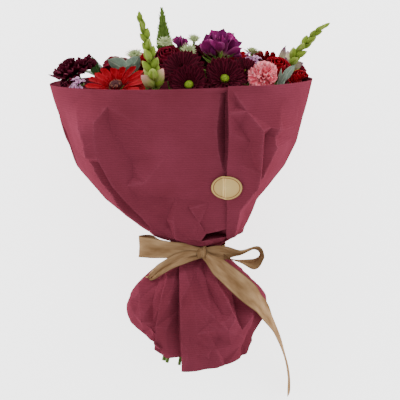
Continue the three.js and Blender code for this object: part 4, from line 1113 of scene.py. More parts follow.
# Where each flower sits: head point, facing, size and how much room it has beside its neighbours.
# A sprig's leaves are (share of stem, turn, lean, length, half width, twist), an alstroemeria's florets
# are (turn, lean, reach, scale). A foot is where a stem's cut end stands out below the hem.
flowers = [
    dict(name="mum_1", at=(-19, 212, 46), face=(-0.08, 0.68, 0.73), size=28, room=5.2, eye=0.5),
    dict(name="mum_2", at=(-12, 198, 77), face=(-0.05, 0.55, 0.83), size=28, room=5.6,
         foot=(-25, -140, 24)),
    dict(name="mum_3", at=(27, 204, 68), face=(0.12, 0.58, 0.8), size=29, room=5.6),
    dict(name="mum_4", at=(49, 208, 36), face=(0.28, 0.78, 0.55), size=26, room=4.8, eye=0.12),
    dict(name="mum_5", at=(-32, 214, -66), face=(-0.2, 0.8, -0.5), size=32, room=5.8),
    dict(name="mum_6", at=(26, 214, -78), face=(0.1, 0.76, -0.6), size=32, room=5.8),
    dict(name="gerbera_1", at=(-94, 194, 60), face=(-0.12, 0.84, 0.53), size=39, room=8,
         foot=(-44, -139, 8)),
    dict(name="gerbera_2", at=(84, 208, -62), face=(0.42, 0.8, -0.42), size=36, room=7.8),
    dict(name="dark_rose_1", at=(-36, 216, -2), face=(-0.12, 0.8, 0.58), size=22, room=4.7),
    dict(name="dark_rose_2", at=(-98, 196, -52), face=(-0.4, 0.85, -0.3), size=27, room=5),
    dict(name="dark_rose_3", at=(109, 194, -28), face=(0.46, 0.88, -0.1), size=23, room=4.4),
    dict(name="red_rose_1", at=(86, 204, 14), face=(0.16, 0.82, 0.55), size=23, room=5),
    dict(name="red_rose_2", at=(111, 194, 24), face=(0.36, 0.8, 0.48), size=19, room=4),
    dict(name="red_rose_3", at=(46, 206, -30), face=(0.2, 0.95, -0.2), size=23, room=4.7),
    dict(name="red_rose_4", at=(-67, 202, -26), face=(-0.25, 0.95, -0.1), size=26, room=4.6),
    dict(name="dark_carnation_1", at=(-140, 190, 4), face=(-0.5, 0.85, 0.12), size=30, room=6.4),
    dict(name="dark_carnation_2", at=(4, 197, -34), face=(0, 0.97, -0.1), size=34, room=6.2),
    dict(name="pink_carnation_1", at=(69, 197, 52), face=(0.22, 0.74, 0.62), size=23, room=4.8),
    dict(name="pink_carnation_2", at=(-70, 189, -84), face=(-0.3, 0.78, -0.5), size=29, room=6),
    dict(name="alstroemeria_1", at=(21, 212, 3), face=(0.02, 0.97, 0.22), size=29, room=7.4,
         florets=[(4.5, 0.5, 0.5, 1.05), (0.2, 0.2, 0.62, 1.1),
                 (1.5, 0.5, 0.52, 1.05), (1.9, 0.95, 0.6, 0.7)]),
    dict(name="alstroemeria_2", at=(-23, 226, -22), face=(0, 0.98, 0.15), size=17, room=2.8,
         florets=[(4.4, 0.35, 0.7, 0.8), (1.2, 0.4, 0.6, 0.8)]),
    dict(name="astrantia_1", at=(-76, 226, -3), face=(-0.1, 0.9, 0.42), size=13, room=2.6),
    dict(name="astrantia_2", at=(-40, 240, -12), face=(-0.05, 0.88, 0.48), size=13, room=2.7),
    dict(name="astrantia_3", at=(-13, 232, 12), face=(0, 0.78, 0.62), size=13.5, room=2.8),
    dict(name="astrantia_4", at=(-7, 244, -5), face=(0.05, 0.9, 0.42), size=12, room=2.4),
    dict(name="astrantia_5", at=(62, 226, -52), face=(0.2, 0.9, -0.3), size=13, room=2.6),
    dict(name="snapdragon_1", at=(-50, 194, 86), face=(-0.06, 0.99, 0.04), size=83, room=3.4,
         sway=(-11, -3), count=16, bud=18, seed=5, open="snapdragonTip", foot=(-40, -140, 14)),
    dict(name="snapdragon_2", at=(99, 206, -14), face=(0.48, 0.88, 0.04), size=72, room=2.8,
         sway=(14, 4), count=14, bud=17, seed=9, open="purpleTipBud"),
    dict(name="snapdragon_3", at=(93, 211, -2), face=(0.1, 0.99, 0.04), size=28, room=2,
         sway=(3, 2), count=3, bud=11, seed=12, open="purpleTipBud"),
    dict(name="veronica_1", at=(-42, 231, -37), face=(-0.07, 1, -0.02), size=52, room=3),
    dict(name="eucalyptus_1", at=(-80, 188, 25), face=(-0.12, 0.98, 0.1), size=24, room=3.8,
         leaves=[(0.95, 4.8, 0.85, 29, 10, 1.1), (0.9, 1.4, 0.7, 26, 9.5, -1.1),
                 (0.6, 0.5, 0.6, 26, 9, 0), (0.7, 3.4, 0.7, 26, 9, 0)]),
    dict(name="eucalyptus_2", at=(89, 186, 55), face=(0.12, 0.98, 0.1), size=15, room=3,
         leaves=[(1, 4.8, 0.6, 27, 5.5, 1.3), (0.95, 1.5, 0.5, 28, 5.5, -1.3),
                 (0.7, 0.4, 0.4, 22, 6, 0), (0.5, 3, 0.7, 24, 6, 0)]),
    dict(name="eucalyptus_3", at=(-4, 192, -96), face=(0, 0.95, -0.3), size=18, room=3,
         leaves=[(0.9, 4.6, 0.9, 30, 9, 0), (0.9, 1.6, 0.9, 30, 9, 0), (1, 3.1, 0.4, 26, 8, 0)]),
    dict(name="foliage_1", at=(-112, 180, -54), face=(-0.4, 0.88, -0.2), size=20, room=3,
         leaves=[(0.9, 4.3, 0.8, 36, 10, 0), (0.9, 1.2, 0.9, 34, 10, 0),
                 (0.7, 2.8, 0.8, 34, 10, 0), (1, 0.2, 0.3, 30, 9, 0)]),
    dict(name="foliage_2", at=(60, 184, -84), face=(0.3, 0.9, -0.25), size=20, room=3,
         leaves=[(0.9, 4.6, 0.8, 34, 10, 0), (0.9, 1.6, 0.9, 34, 10, 0),
                 (0.7, 3, 0.8, 32, 10, 0), (1, 0.1, 0.3, 30, 9, 0)]),
    dict(name="waxflower_1", at=(57, 202, 7), face=(0.1, 0.97, 0.2), size=26, room=3.2,
         count=11, seed=3),
    dict(name="waxflower_2", at=(-134, 182, 42), face=(-0.35, 0.85, 0.3), size=20, room=3,
         count=11, seed=8),
]
apex = np.array([0, -17, 0.0])  # the flowers' directions spread from this point below the tie
clearance = 0.3  # mm that a flower keeps from each plane between it and its neighbours
farApart = 0.75  # flowers with a wider angle between them leave each other room anyway, in radians


def unit(v):
    v = np.asarray(v, float)
    return v / np.linalg.norm(v)


for flower in flowers:
    flower["seat"] = np.array(flower["at"], float)
    flower["facing"] = unit(flower["face"])
    ahead = 8 if flower["name"].startswith("snapdragon") else flower["size"] * 0.4
    flower["way"] = unit(flower["seat"] + flower["facing"] * ahead - apex)


# The planes that part a flower's sector from its neighbours'
def sectorPlanes(flower):
    planes = []
    for other in flowers:
        if other is flower:
            continue
        between = math.acos(min(1, float(flower["way"] @ other["way"])))
        if between >= farApart:
            continue
        here = between * flower["room"] / (flower["room"] + other["room"])
        side = unit(other["way"] - flower["way"] * math.cos(between))
        planes.append(side * math.cos(here) - flower["way"] * math.sin(here))
    return planes


# Eases a distance past a limit back to the limit, softly
def press(past, soft):
    return -soft * np.logaddexp(0, -past / soft)


# Where the pressing back begins, how soft it is and the gap over the table, in mm. The last three are shares
# of the way out to the paper, and spill is how much further the flowers may lean out over its rim.
settling = {"near": 14, "soft": 3, "overTable": 3, "rimNear": 0.9, "rimSoft": 0.03, "spill": 0.5}


# Keeps points inside their sector, inside the paper by an inset and above the table
def settle(points, planes, inset):
    reach = points - apex
    for normal in planes:
        past = reach @ normal + clearance
        moved = np.where(past > -settling["near"], press(past, settling["soft"]) - past, 0)
        reach = reach + moved[:, None] * normal
    points = reach + apex
    halfWidth, halfDepth, shift, _ = wrapAt(np.minimum(points[:, 1], paper["rimY"]))
    far = np.hypot((points[:, 0] - shift) / halfWidth, points[:, 2] / halfDepth)
    overRim = smoothStep(paper["rimY"] + 3, paper["rimY"] + 16, points[:, 1])
    limit = 1 - inset / halfDepth + settling["spill"] * overRim
    pressed = (limit + press(far - limit, settling["rimSoft"])) / np.maximum(far, 1e-6)
    kept = np.where(far > limit * settling["rimNear"], pressed, 1)
    points[:, 0] = shift + (points[:, 0] - shift) * kept
    points[:, 2] *= kept
    floor = (-lie["lift"] - points[:, 1] * sinTilt) / cosTilt + settling["overTable"]
    points[:, 2] = floor - press(floor - points[:, 2], settling["soft"])
    return points


# Turns +Y to a direction by the shortest way
def turnTo(facing):
    return Vector((0, 1, 0)).rotation_difference(Vector(facing)).to_matrix()


headUp = Matrix(((1, 0, 0), (0, 0, 1), (0, -1, 0)))  # heads are made with their axis along +Z


def headPoints(mesh, flower):
    turn = np.array(turnTo(flower["facing"]) @ headUp)
    return pointsOf(mesh) @ turn.T + flower["seat"]


def leanMatrix(lean, turn, lift):
    way = Vector((math.sin(lean) * math.sin(turn), -math.sin(lean) * math.cos(turn), math.cos(lean)))
    rotation = Vector((0, 0, 1)).rotation_difference(way).to_matrix().to_4x4()
    return Matrix.Translation((0, 0, lift)) @ rotation


mumRings = [  # count, radius, height, rise, scale, phase and jitter of each ring of rays
    (20, 5, 2.2, 0.05, 1, 0, 0.07), (20, 5, 2.9, 0.2, 0.93, 0.157, 0.08),
    (17, 4.6, 3.6, 0.4, 0.78, 0.1, 0.09), (14, 4.6, 4.2, 0.72, 0.5, 0, 0.12),
]


def mumHead(flower):
    size, seed = flower["size"], int(flower["at"][0]) + 500
    widths = [(0, 0.05), (0.3, 0.09), (0.7, 0.125), (0.9, 0.115), (0.97, 0.07), (1, 0.025)]
    heights = [(0, 0), (0.5, 0.02), (0.85, 0.08), (1, 0.14)]
    ray = petal("mumRay", "mumPetal", size - 5, widths, heights, cup=0.35, rows=9, columns=5)
    back = turnedForm("mumBack", "mumPetal", [(2.5, 0.4), (7.5, 1.6), (8, 3.4), (5, 4.4)], 12)
    eye = flower.get("eye", 1)
    hub = [(4.4 * eye, 3.6), (5.4 * eye, 5.2), (4.6 * eye, 7), (2.2 * eye, 8)]
    green = turnedForm("mumHub", "mumEye", hub, 14)
    floret = turnedForm("mumFloret", "mumEye", [(0.5, 0), (0.56, 1), (0.2, 1.4)], 5)
    rings = [whorl(ray, count, None, radius, height, rise, scale, phase, jitter, seed + k)
             for k, (count, radius, height, rise, scale, phase, jitter) in enumerate(mumRings)]
    florets = whorl(floret, 60, goldenTurn, radius=(0.3, 5.0 * eye), height=(7.9, 5.6), rise=(1.5, 0.7),
                    seed=seed + 4)
    inner = whorl(ray, 12, radius=4.4, height=4.6, rise=1.55 - 0.5 * eye, scale=0.3, phase=0.2, seed=seed + 5)
    return [back, green, *rings, florets, inner]


def gerberaHead(flower):
    size, seed = flower["size"], int(flower["at"][0]) + 700
    widths = [(0, 0.05), (0.25, 0.095), (0.6, 0.14), (0.86, 0.135), (0.96, 0.095), (1, 0.035)]
    ray = petal("gerberaRay", "gerberaPetal", size - 8, widths, [(0, 0), (0.5, 0.03), (1, 0.05)], cup=0.3,
                rows=10, columns=7)
    short = petal("gerberaShort", "gerberaPetal", size * 0.3, [(0, 0.06), (0.6, 0.09), (1, 0.02)],
                  [(0, 0), (1, 0.2)], cup=0.3, rows=5, columns=4)
    return [
        turnedForm("gerberaBack", "stemGreen", [(2.2, 0.2), (8, 1.0), (10.5, 2.6), (8, 3.8)], 14),
        whorl(ray, 19, radius=8, height=2, rise=0.05, jitter=0.07, seed=seed),
        whorl(ray, 17, radius=8, height=2.8, rise=0.17, scale=0.94, phase=0.16,
              jitter=0.1, seed=seed + 1),
        whorl(short, 26, radius=7.8, height=3.3, rise=0.45, jitter=0.2, seed=seed + 2),
        whorl(short, 24, radius=7, height=4, rise=0.8, scale=0.7, jitter=0.2, seed=seed + 3),
    ]


def gerberaEye(seed):
    floret = turnedForm("gerberaFloret", "gerberaEye", [(0.45, 0), (0.6, 1.5), (0.2, 2.1)], 5)
    tip = turnedForm("gerberaTip", "pollen", [(0.3, 0), (0.32, 0.8), (0.1, 1.1)], 4)
    return [
        turnedForm("gerberaDisc", "gerberaEye", [(6.6, 4.4), (7.9, 5.6), (7.4, 7.4), (4, 8.6)], 16),
        whorl(floret, 70, goldenTurn, radius=(0.4, 7.2), height=(8.4, 6.6), rise=(1.5, 0.9), jitter=0.12,
              seed=seed),
        whorl(tip, 30, goldenTurn, radius=(5.2, 7.4), height=(9.4, 8), rise=(1.4, 1), jitter=0.3,
              seed=seed + 1),
    ]


roseBuild = {"wraps": 13, "rows": 10, "columns": 13, "thick": 0.5}


# Rose: petals wrapped round the heart in a spiral, each rolled back a little more than the last
def roseHead(flower):
    size, seed = flower["size"], int(flower["at"][0]) + 300
    look = "darkRosePetal" if flower["name"].startswith("dark") else "redRosePetal"
    random = np.random.default_rng(seed + 400)
    hip = [(1.6, 0), (size * 0.2, size * 0.1), (size * 0.16, size * 0.28)]
    heart = [(size * 0.08, size * 0.2), (size * 0.13, size * 0.6), (size * 0.05, size * 1.04)]
    parts = [turnedForm("roseHip", "stemGreen", hip, 9), turnedForm("roseHeart", look, heart, 8)]
    t = np.linspace(0, 1, roseBuild["rows"])[:, None]
    s = np.linspace(-1, 1, roseBuild["columns"])[None, :]
    uv = np.stack([(s + 1) / 2 + 0 * t, t + 0 * s], 2)
    thick = np.full(uv.shape[:2], roseBuild["thick"])
    root = size * 0.1
    low = size * 0.12
    for k in range(roseBuild["wraps"]):
        out = k / (roseBuild["wraps"] - 1)
        turn = k * goldenTurn + random.uniform(-0.15, 0.15)
        spread = (1.9 - 0.8 * out) * (0.55 + 0.45 * np.sqrt(t)) * (1 - 0.28 * t**5)
        belly = size * (0.12 + 0.68 * out**0.8)
        mouth = belly * (0.84 + 0.36 * out**3)
        radius = root + (belly - root) * smoothStep(0, 0.55, t) + (mouth - belly) * smoothStep(0.5, 1, t)
        top = size * (1.1 - 0.36 * out**1.5) + size * 0.02 * random.uniform(-1, 1)
        height = low + (top - low) * t**0.75 - size * 0.16 * out**2 * smoothStep(0.82, 1, t)
        height = height - size * 0.07 * s**4 * t + size * 0.02 * np.sin(5 * s + 9 * out) * t
        radius = radius + size * 0.025 * s + 0 * t
        angle = turn + spread * s
        grid = np.stack([radius * np.cos(angle), radius * np.sin(angle), height + 0 * s], 2)
        shade = np.full(uv.shape[:2], random.uniform(0.25, 0.75))
        parts.append(shellOf("rosePetal", grid, -gridNormals(grid), thick, uv, look, {"shade": shade}))
    sepal = petal("roseSepal", "stemGreen", size * 0.7, [(0, 0.14), (0.4, 0.16), (1, 0.02)],
                  [(0, 0), (1, -0.16)], cup=0.2, rows=6, columns=4)
    parts.append(whorl(sepal, 5, radius=low, height=low, rise=0.1, jitter=0.2, seed=seed + 2))
    return parts


def carnationHead(flower):
    size, seed = flower["size"], int(flower["at"][0]) + 900
    look = "darkCarnationPetal" if flower["name"].startswith("dark") else "pinkCarnationPetal"
    widths = [(0, 0.06), (0.4, 0.12), (0.62, 0.34), (0.85, 0.46), (1, 0.42)]
    frill = petal("frill", look, size, widths, [(0, 0), (0.6, 0.02), (1, 0.0)], cup=0.12, ruffle=0.085,
                  waves=3.3, teeth=0.035, rows=9, columns=19)
    calyx = [(2, 0), (size * 0.24, size * 0.06), (size * 0.26, size * 0.42), (size * 0.3, size * 0.56)]
    middle = size * 0.5
    return [
        turnedForm("calyx", "stemGreen", calyx, 10),
        whorl(frill, 11, goldenTurn, height=middle, rise=(0.1, 0), jitter=0.25, seed=seed),
        whorl(frill, 12, goldenTurn, height=(size * 0.52, middle), rise=(0.62, 0.28), scale=(0.8, 0.95),
              phase=1, jitter=0.3, seed=seed + 1),
        whorl(frill, 10, goldenTurn, height=middle, rise=(1.35, 0.85), scale=(0.62, 0.78), phase=2,
              jitter=0.35, seed=seed + 2),
    ]


def trumpetFloret(size):
    broad = petal("alstroBroad", "alstroemeriaPetal", size,
                  [(0, 0.06), (0.25, 0.19), (0.5, 0.31), (0.75, 0.34), (0.9, 0.27), (0.97, 0.15), (1, 0.07)],
                  [(0, 0), (0.5, -0.05), (1, -0.02)], cup=0.42, rows=12, columns=9)
    narrow = petal("alstroNarrow", "alstroemeriaDeep", size * 0.98,
                   [(0, 0.05), (0.4, 0.16), (0.7, 0.23), (0.88, 0.19), (0.97, 0.1), (1, 0.04)],
                   [(0, 0), (0.5, -0.04), (1, -0.04)], cup=0.45, rows=10, columns=7)
    thread = turnedForm("thread", "alstroemeriaPetal", [(0.25, 0), (0.25, size * 0.66)], 4)
    anther = turnedForm("anther", "pollen", [(0.3, size * 0.64), (0.7, size * 0.68), (0.3, size * 0.74)], 5)
    stamen = joined("stamen", [thread, anther])
    stamen.transform(Matrix.Rotation(math.pi / 2, 4, "Y"))
    return [
        whorl(broad, 3, radius=0.6, rise=0.98, jitter=0.08, seed=5),
        whorl(narrow, 3, radius=0.4, rise=1.16, phase=math.pi / 3, jitter=0.08, seed=6),
        whorl(stamen, 6, radius=0.6, rise=1.3, jitter=0.2, seed=3),
    ]


alstroBuds = ((3.1, 0.45), (5.6, 0.5))  # turn and lean of each


def alstroHead(flower):
    size = flower["size"]
    parts = [turnedForm("alstroNeck", "stemGreen", [(2, 0), (2.4, size * 0.2), (1.6, size * 0.32)], 8)]
    for turn, lean, reach, scale in flower["florets"]:
        place = leanMatrix(lean, turn, size * 0.2)
        stalk = [(1.2, 0), (1.1, size * reach * 0.8), (1.9, size * reach)]
        parts.append(transformed(turnedForm("alstroStalk", "stemGreen", stalk, 7), place))
        onStalk = place @ Matrix.Translation((0, 0, size * reach - 2)) @ Matrix.Rotation(turn, 4, "Z")
        parts += [transformed(mesh, onStalk) for mesh in trumpetFloret(size * scale * 0.9)]
    bud = turnedForm("alstroBud", "alstroemeriaDeep", [(0.8, 0), (2.6, 4), (3, 8), (1.6, 12), (0.3, 14)], 9)
    for turn, lean in alstroBuds:
        place = leanMatrix(lean, turn, size * 0.2)
        stalk = turnedForm("budStalk", "stemGreen", [(0.9, 0), (0.8, size * 0.55)], 6)
        parts += [transformed(stalk, place), transformed(bud, place @ Matrix.Translation((0, 0, size * 0.5)))]
    blade = petal("alstroLeaf", "veronicaBud", size * 0.95, [(0, 0.05), (0.4, 0.15), (1, 0.02)],
                  [(0, 0), (1, -0.1)], cup=0.4, fold=0.2, rows=8, columns=5)
    parts.append(whorl(blade, 14, goldenTurn, radius=1.6, height=(-size * 0.35, size * 0.15), rise=(0.2, 0.9),
                       jitter=0.15, seed=8))
    return parts


def astrantiaHead(flower):
    size, seed = flower["size"], int(flower["at"][0]) + 200
    bract = petal("bract", "astrantiaBract", size * 0.85, [(0, 0.05), (0.4, 0.09), (0.75, 0.06), (1, 0.01)],
                  [(0, 0), (1, 0.06)], cup=0.25, rows=7, columns=5)
    dome = [(1, 0), (size * 0.3, size * 0.14), (size * 0.24, size * 0.34)]
    pinForm = [(0.2, 0), (0.2, size * 0.3), (0.55, size * 0.36), (0.2, size * 0.42)]
    pin = turnedForm("astrantiaPin", "astrantiaBract", pinForm, 5)
    pin.transform(Matrix.Rotation(math.pi / 2, 4, "Y"))
    return [
        turnedForm("astrantiaDome", "astrantiaBract", dome, 9),
        whorl(bract, 20, radius=size * 0.12, height=size * 0.14, rise=0.28, jitter=0.12, seed=seed),
        whorl(bract, 14, radius=size * 0.12, height=size * 0.2, rise=0.55, scale=0.75, phase=0.3, jitter=0.16,
              seed=seed + 1),
        whorl(pin, 46, goldenTurn, radius=(0.2, size * 0.22), height=(size * 0.3, size * 0.22),
              rise=(1.5, 0.6), jitter=0.2, seed=seed + 2),
    ]


budForm = [(0.35, 0), (0.8, 0.18), (1, 0.42), (0.9, 0.64), (0.55, 0.84), (0.12, 1)]  # girth and length
budTurn = 2.4  # from one bud or stalk to the next


def budMesh(length, look, fat):
    body = turnedForm("bud", look, [(girth * length * fat, at * length) for girth, at in budForm], 8)
    body.transform(Matrix.Rotation(math.pi / 2, 4, "Y"))
    return body


# A spike of buds on a swaying stalk. A short one is a closed tip with buds at its foot alone.
def spikeHead(flower):
    size, count, seed = flower["size"], flower["count"], flower["seed"]
    if size > 40:
        core = turnedForm("spikeCore", "stemGreen", [(2, 0), (1.7, size * 0.5), (0.9, size * 0.97)], 9)
        budLook, budsTo, leafCount = "snapdragonBud", 0.95, count + 4
    else:
        tip = [(2, 0), (3.6, size * 0.35), (4.4, size * 0.6), (3.4, size * 0.82), (1, size)]
        core = turnedForm("spikeTip", "purpleTipBud", tip, 9)
        budLook, budsTo, leafCount = "purpleTipBud", 0.4, 3
    bud = budMesh(flower["bud"], budLook, 0.3)
    openBud = budMesh(flower["bud"] * 1.15, flower["open"], 0.32)
    leaf = petal("sepal", budLook, flower["bud"] * 0.7, [(0, 0.1), (0.4, 0.17), (1, 0.02)],
                 [(0, 0), (1, 0.1)], cup=0.4, rows=5, columns=4)
    whole = joined("spike", [
        core,
        whorl(openBud, 4, budTurn, radius=0.8, height=(size * 0.02, size * 0.16), rise=(0.72, 0.85),
              phase=1.4, seed=seed + 2),
        whorl(bud, count + 3, budTurn, radius=(0.6, 0.4), height=(size * 0.06, size * budsTo),
              rise=(0.8, 1.3), scale=(1.06, 0.55), jitter=0.12, seed=seed),
        whorl(leaf, leafCount, budTurn, radius=(1.4, 0.8), height=(size * 0.02, size * 0.93),
              rise=(0.5, 1), scale=(1.1, 0.6), phase=0.2, jitter=0.15, seed=seed + 1),
    ])
    points = pointsOf(whole)
    share = points[:, 2] / size
    points[:, 0] += flower["sway"][0] * share**2
    points[:, 1] -= flower["sway"][1] * share**2
    whole.vertices.foreach_set("co", points.astype(np.float32).ravel())
    return [whole]


def needleHead(flower):
    size = flower["size"]
    core = turnedForm("needleCore", "veronicaBud", [(6, 0), (5, size * 0.4), (1.2, size * 0.96)], 9)
    needle = budMesh(8.5, "veronicaBud", 0.09)
    return [core, whorl(needle, 340, goldenTurn, radius=(6.4, 0.6), height=(0, size * 0.94), rise=(1.05, 1.4),
                        scale=(1.2, 0.5), jitter=0.3, seed=4)]


def sprigHead(flower):
    look = "eucalyptusLeaf" if flower["name"].startswith("eucalyptus") else "foliageLeaf"
    size = flower["size"]
    parts = [turnedForm("sprigStem", "stemGreen", [(1.5, 0), (1, size)], 7)]
    for at, turn, lean, length, half, twist in flower["leaves"]:
        ratio = half / length
        widths = [(0, 0.03), (0.25, ratio * 0.85), (0.5, ratio), (0.8, ratio * 0.62), (1, 0.01)]
        leaf = petal("leaf", look, length, widths, [(0, 0), (0.5, 0.03), (1, -0.04)], cup=0.2, fold=0.12,
                     rows=12, columns=9, thick=0.5)
        leaf.transform(Matrix.Rotation(-math.pi / 2, 4, "Y"))
        leaf.transform(Matrix.Rotation(math.pi / 2, 4, "Z"))
        own = leanMatrix(lean, turn, size * at) @ Matrix.Rotation(turn + math.pi + twist, 4, "Z")
        parts.append(transformed(leaf, own))
    return parts


def sprayHead(flower):
    random = np.random.default_rng(flower["seed"])
    size, count = flower["size"], flower["count"]
    petalShape = petal("waxPetal", "waxflowerPetal", 4.6, [(0, 0.16), (0.5, 0.4), (0.85, 0.34), (1, 0.1)],
                       [(0, 0), (1, 0.16)], cup=0.3, rows=5, columns=5)
    cup = turnedForm("waxCup", "alstroemeriaDeep", [(0.5, -2.6), (1.5, -0.6), (1.3, 0.5)], 7)
    parts = [turnedForm("sprayNeck", "stemGreen", [(1.4, 0), (1.1, size * 0.3)], 6)]
    for k in range(count):
        turn, lean = k * budTurn, 0.1 + 0.68 * k / count
        far = size * (0.74 + 0.3 * random.random())
        place = leanMatrix(lean, turn, size * 0.12)
        stalk = turnedForm("sprayStalk", "stemGreen", [(0.5, 0), (0.4, far)], 5)
        star = whorl(petalShape, 5, radius=0.9, rise=0.25, jitter=0.1, seed=k)
        parts.append(transformed(stalk, place))
        parts += [transformed(part, place @ Matrix.Translation((0, 0, far))) for part in (star, cup)]
    return parts


kinds = {  # what makes each kind's head, and the radius of its stem
    "mum": (mumHead, 1.9), "gerbera": (gerberaHead, 2.4),
    "dark_rose": (roseHead, 2.2), "red_rose": (roseHead, 2.2),
    "dark_carnation": (carnationHead, 2), "pink_carnation": (carnationHead, 2),
    "alstroemeria": (alstroHead, 2), "astrantia": (astrantiaHead, 1.5),
    "snapdragon": (spikeHead, 2.1), "veronica": (needleHead, 1.9),
    "eucalyptus": (sprigHead, 1.8), "foliage": (sprigHead, 1.8), "waxflower": (sprayHead, 1.6),
}

bloomInset = 8  # from the paper

for flower in flowers:
    flower["kind"] = flower["name"].rpartition("_")[0]  # the slot has the kind's name
    mesh = joined(flower["name"] + "_bloom", kinds[flower["kind"]][0](flower))
    points = settle(headPoints(mesh, flower), sectorPlanes(flower), bloomInset)
    placePiece(flower["name"] + "_bloom", mesh, points, [flower["name"]])
    if flower["kind"] == "gerbera":
        eyeName = flower["name"] + "_eye"
        eye = joined(eyeName, gerberaEye(int(flower["at"][0]) + 70))
        placePiece(eyeName, eye, headPoints(eye, flower), [flower["name"] + "_centre"])
print("flowers made", len(flowers))


# Geometry Nodes: round stems along curves, each point with its own radius
def stemTree():
    tree, given = newTree("stems", Float=["Thickness"], Int=["Sides"])
    circle = tree.nodes.new("GeometryNodeCurvePrimitiveCircle")
    sweep = tree.nodes.new("GeometryNodeCurveToMesh")
    radius = tree.nodes.new("GeometryNodeInputRadius")
    sweep.inputs["Fill Caps"].default_value = True
    link = tree.links.new
    link(given["Thickness"], circle.inputs["Radius"])
    link(given["Sides"], circle.inputs["Resolution"])
    link(given["Geometry"], sweep.inputs["Curve"])
    link(circle.outputs[0], sweep.inputs["Profile Curve"])
    link(radius.outputs[0], sweep.inputs["Scale"])
    endTree(tree, sweep.outputs[0], given["Material"])
    return tree


stemNodes = stemTree()
stemSockets = socketsOf(stemNodes)


def tubes(name, paths, material, sides=8):
    curve = bpy.data.curves.new(name, "CURVE")
    curve.dimensions = "3D"
    for points, radii in paths:
        spline = curve.splines.new("POLY")
        spline.points.add(len(points) - 1)
        places = np.column_stack([points, np.ones(len(points))])
        spline.points.foreach_set("co", places.astype(np.float32).ravel())
        spline.points.foreach_set("radius", np.asarray(radii, np.float32))
    obj = bpy.data.objects.new(name, curve)
    bpy.context.scene.collection.objects.link(obj)
    modifier = obj.modifiers.new("stems", "NODES")
    modifier.node_group = stemNodes
    modifier[stemSockets["Thickness"]] = 1.0
    modifier[stemSockets["Sides"]] = sides
    modifier[stemSockets["Material"]] = looks[material]
    return applied(obj, name)


spiral = {
    "turn": math.radians(50), "atTie": 16, "below": 74, "endY": -137, "neck": 16,
    "endInset": 9, "neckInset": 12,  # from the paper
    "steps": 14, "neckSteps": 6, "nodeEvery": 7, "nodeBulge": 0.14, "thinned": 0.92,
}


# A stem goes from its cut end through the tie to the neck of its flower
def stemPath(flower):
    planes = sectorPlanes(flower)
    seat = flower["seat"][None, :].copy()
    end = settle(seat, planes, spiral["endInset"])[0] - flower["facing"] * clearance
    neck = settle((end - flower["facing"] * spiral["neck"])[None, :], planes, spiral["neckInset"])[0]
    slope = (neck - apex) / (neck[1] - apex[1])
    tie = np.array([slope[0] * spiral["atTie"], 0, slope[2] * spiral["atTie"]])
    c, s = math.cos(spiral["turn"]), math.sin(spiral["turn"])
    foot = np.array([
        spiral["below"] * (slope[0] * c - slope[2] * s),
        spiral["endY"] + 4 * math.sin(7 * slope[0] + 11 * slope[2]),
        spiral["below"] * (slope[0] * s + slope[2] * c),
    ])
    foot = np.array(flower.get("foot", foot), float)  # three of the stems stand out below the hem
    corners = [foot, tie, neck, end + flower["facing"] * clearance * 3]
    radius = kinds[flower["kind"]][1]
    points, radii = [], []
    for k, (a, b) in enumerate(zip(corners[:-1], corners[1:])):
        for t in np.linspace(0, 1, spiral["steps"] if k < 2 else spiral["neckSteps"], endpoint=k == 2):
            points.append(a + (b - a) * t)
            fromNode = (t * spiral["steps"] + k * 5) % spiral["nodeEvery"] - spiral["nodeEvery"] / 2
            bulge = 1 + spiral["nodeBulge"] * math.exp(-(fromNode**2))
            radii.append(radius * (1 if k == 0 else spiral["thinned"]) * bulge)
    return np.array(points), radii


stemMesh = tubes("cutStems", [stemPath(flower) for flower in flowers], "stemGreen")
placePiece("cut_stems", stemMesh, pointsOf(stemMesh), ["stem_bunch"])

raffia = {"turns": 5, "radius": 18.2, "halfTall": 3.3, "strand": 0.85, "steps": 160}
turns = np.linspace(0, raffia["turns"] * 2 * math.pi, raffia["steps"])
climb = np.linspace(-raffia["halfTall"], raffia["halfTall"], raffia["steps"])
winding = np.stack([raffia["radius"] * np.cos(turns), climb, raffia["radius"] * np.sin(turns)], 1)
tieMesh = tubes("raffiaTie", [(winding, np.full(raffia["steps"], raffia["strand"]))], "raffia", 6)
placePiece("raffia_winding", tieMesh, pointsOf(tieMesh), ["stem_tie"])
print("stems and tie made")


# Table, light and camera
def standing(name, data, at):
    obj = bpy.data.objects.new(name, data)
    obj.location = at
    bpy.context.scene.collection.objects.link(obj)
    return obj


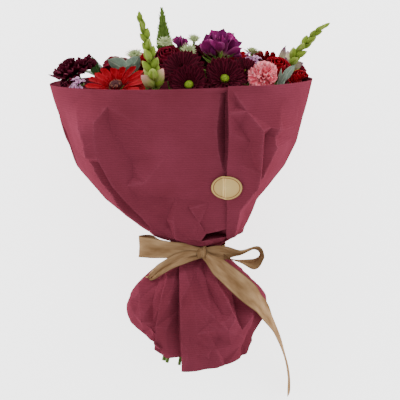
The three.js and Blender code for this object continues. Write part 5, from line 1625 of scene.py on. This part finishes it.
ground = {"half": 6, "drop": 0.0006, "white": 0.93, "glow": 2.6}
half = ground["half"]
tableMesh = bpy.data.meshes.new("tableTop")
corners = [(-half, -half, 0), (half, -half, 0), (half, half, 0), (-half, half, 0)]
tableMesh.from_pydata(corners, [], [(0, 1, 2, 3)])
tableMaterial, _, tableShader = newMaterial("paleTable", 0.9, 0.1)
tableShader.inputs["Base Color"].default_value = grey(ground["white"])
tableShader.inputs["Emission Color"].default_value = grey(1.0)
tableShader.inputs["Emission Strength"].default_value = ground["glow"]
tableMesh.materials.append(tableMaterial)
standing("table_top", tableMesh, (0, 0, -ground["drop"]))

sky = {"low": 1.0, "high": 0.98, "strength": 0.95}  # paler at its foot than overhead
world = bpy.data.worlds.new("softSky")
bpy.context.scene.world = world
world.use_nodes = True
skyTree = world.node_tree
skyCoords = skyTree.nodes.new("ShaderNodeTexCoord")
skySplit = skyTree.nodes.new("ShaderNodeSeparateXYZ")
skyTree.links.new(skyCoords.outputs["Generated"], skySplit.inputs[0])
skyTone = rampOf(skyTree, [(0.0, grey(sky["low"])), (0.9, grey(sky["high"]))], skySplit.outputs["Z"])
skyTree.links.new(skyTone, skyTree.nodes["Background"].inputs["Color"])
skyTree.nodes["Background"].inputs["Strength"].default_value = sky["strength"]

lamps = {
    "left": {"at": (-1.2, 0.5, 0.8), "size": 1.0, "power": 10},
    "right": {"at": (1.2, 0.4, 0.8), "size": 1.0, "power": 6},
    "ahead": {"at": (-0.1, 1.4, 0.8), "size": 1.0, "power": 8},
}
lampTarget = Vector((0, 0, 0.08))
for name, lamp in lamps.items():
    light = bpy.data.lights.new(name, "AREA")
    light.size = lamp["size"]
    light.energy = lamp["power"]
    facing = (lampTarget - Vector(lamp["at"])).to_track_quat("-Z", "Y")
    standing(name, light, lamp["at"]).rotation_euler = facing.to_euler()

view = {"distance": 1.5, "frameWidth": 0.48, "middle": (0.0, 0.056)}
above = np.array([*view["middle"], view["distance"]])
camera = standing("camera", bpy.data.cameras.new("camera"), tieMiddle + above)
camera.data.lens = camera.data.sensor_width * view["distance"] / view["frameWidth"]
bpy.context.scene.camera = camera
print("scene set")
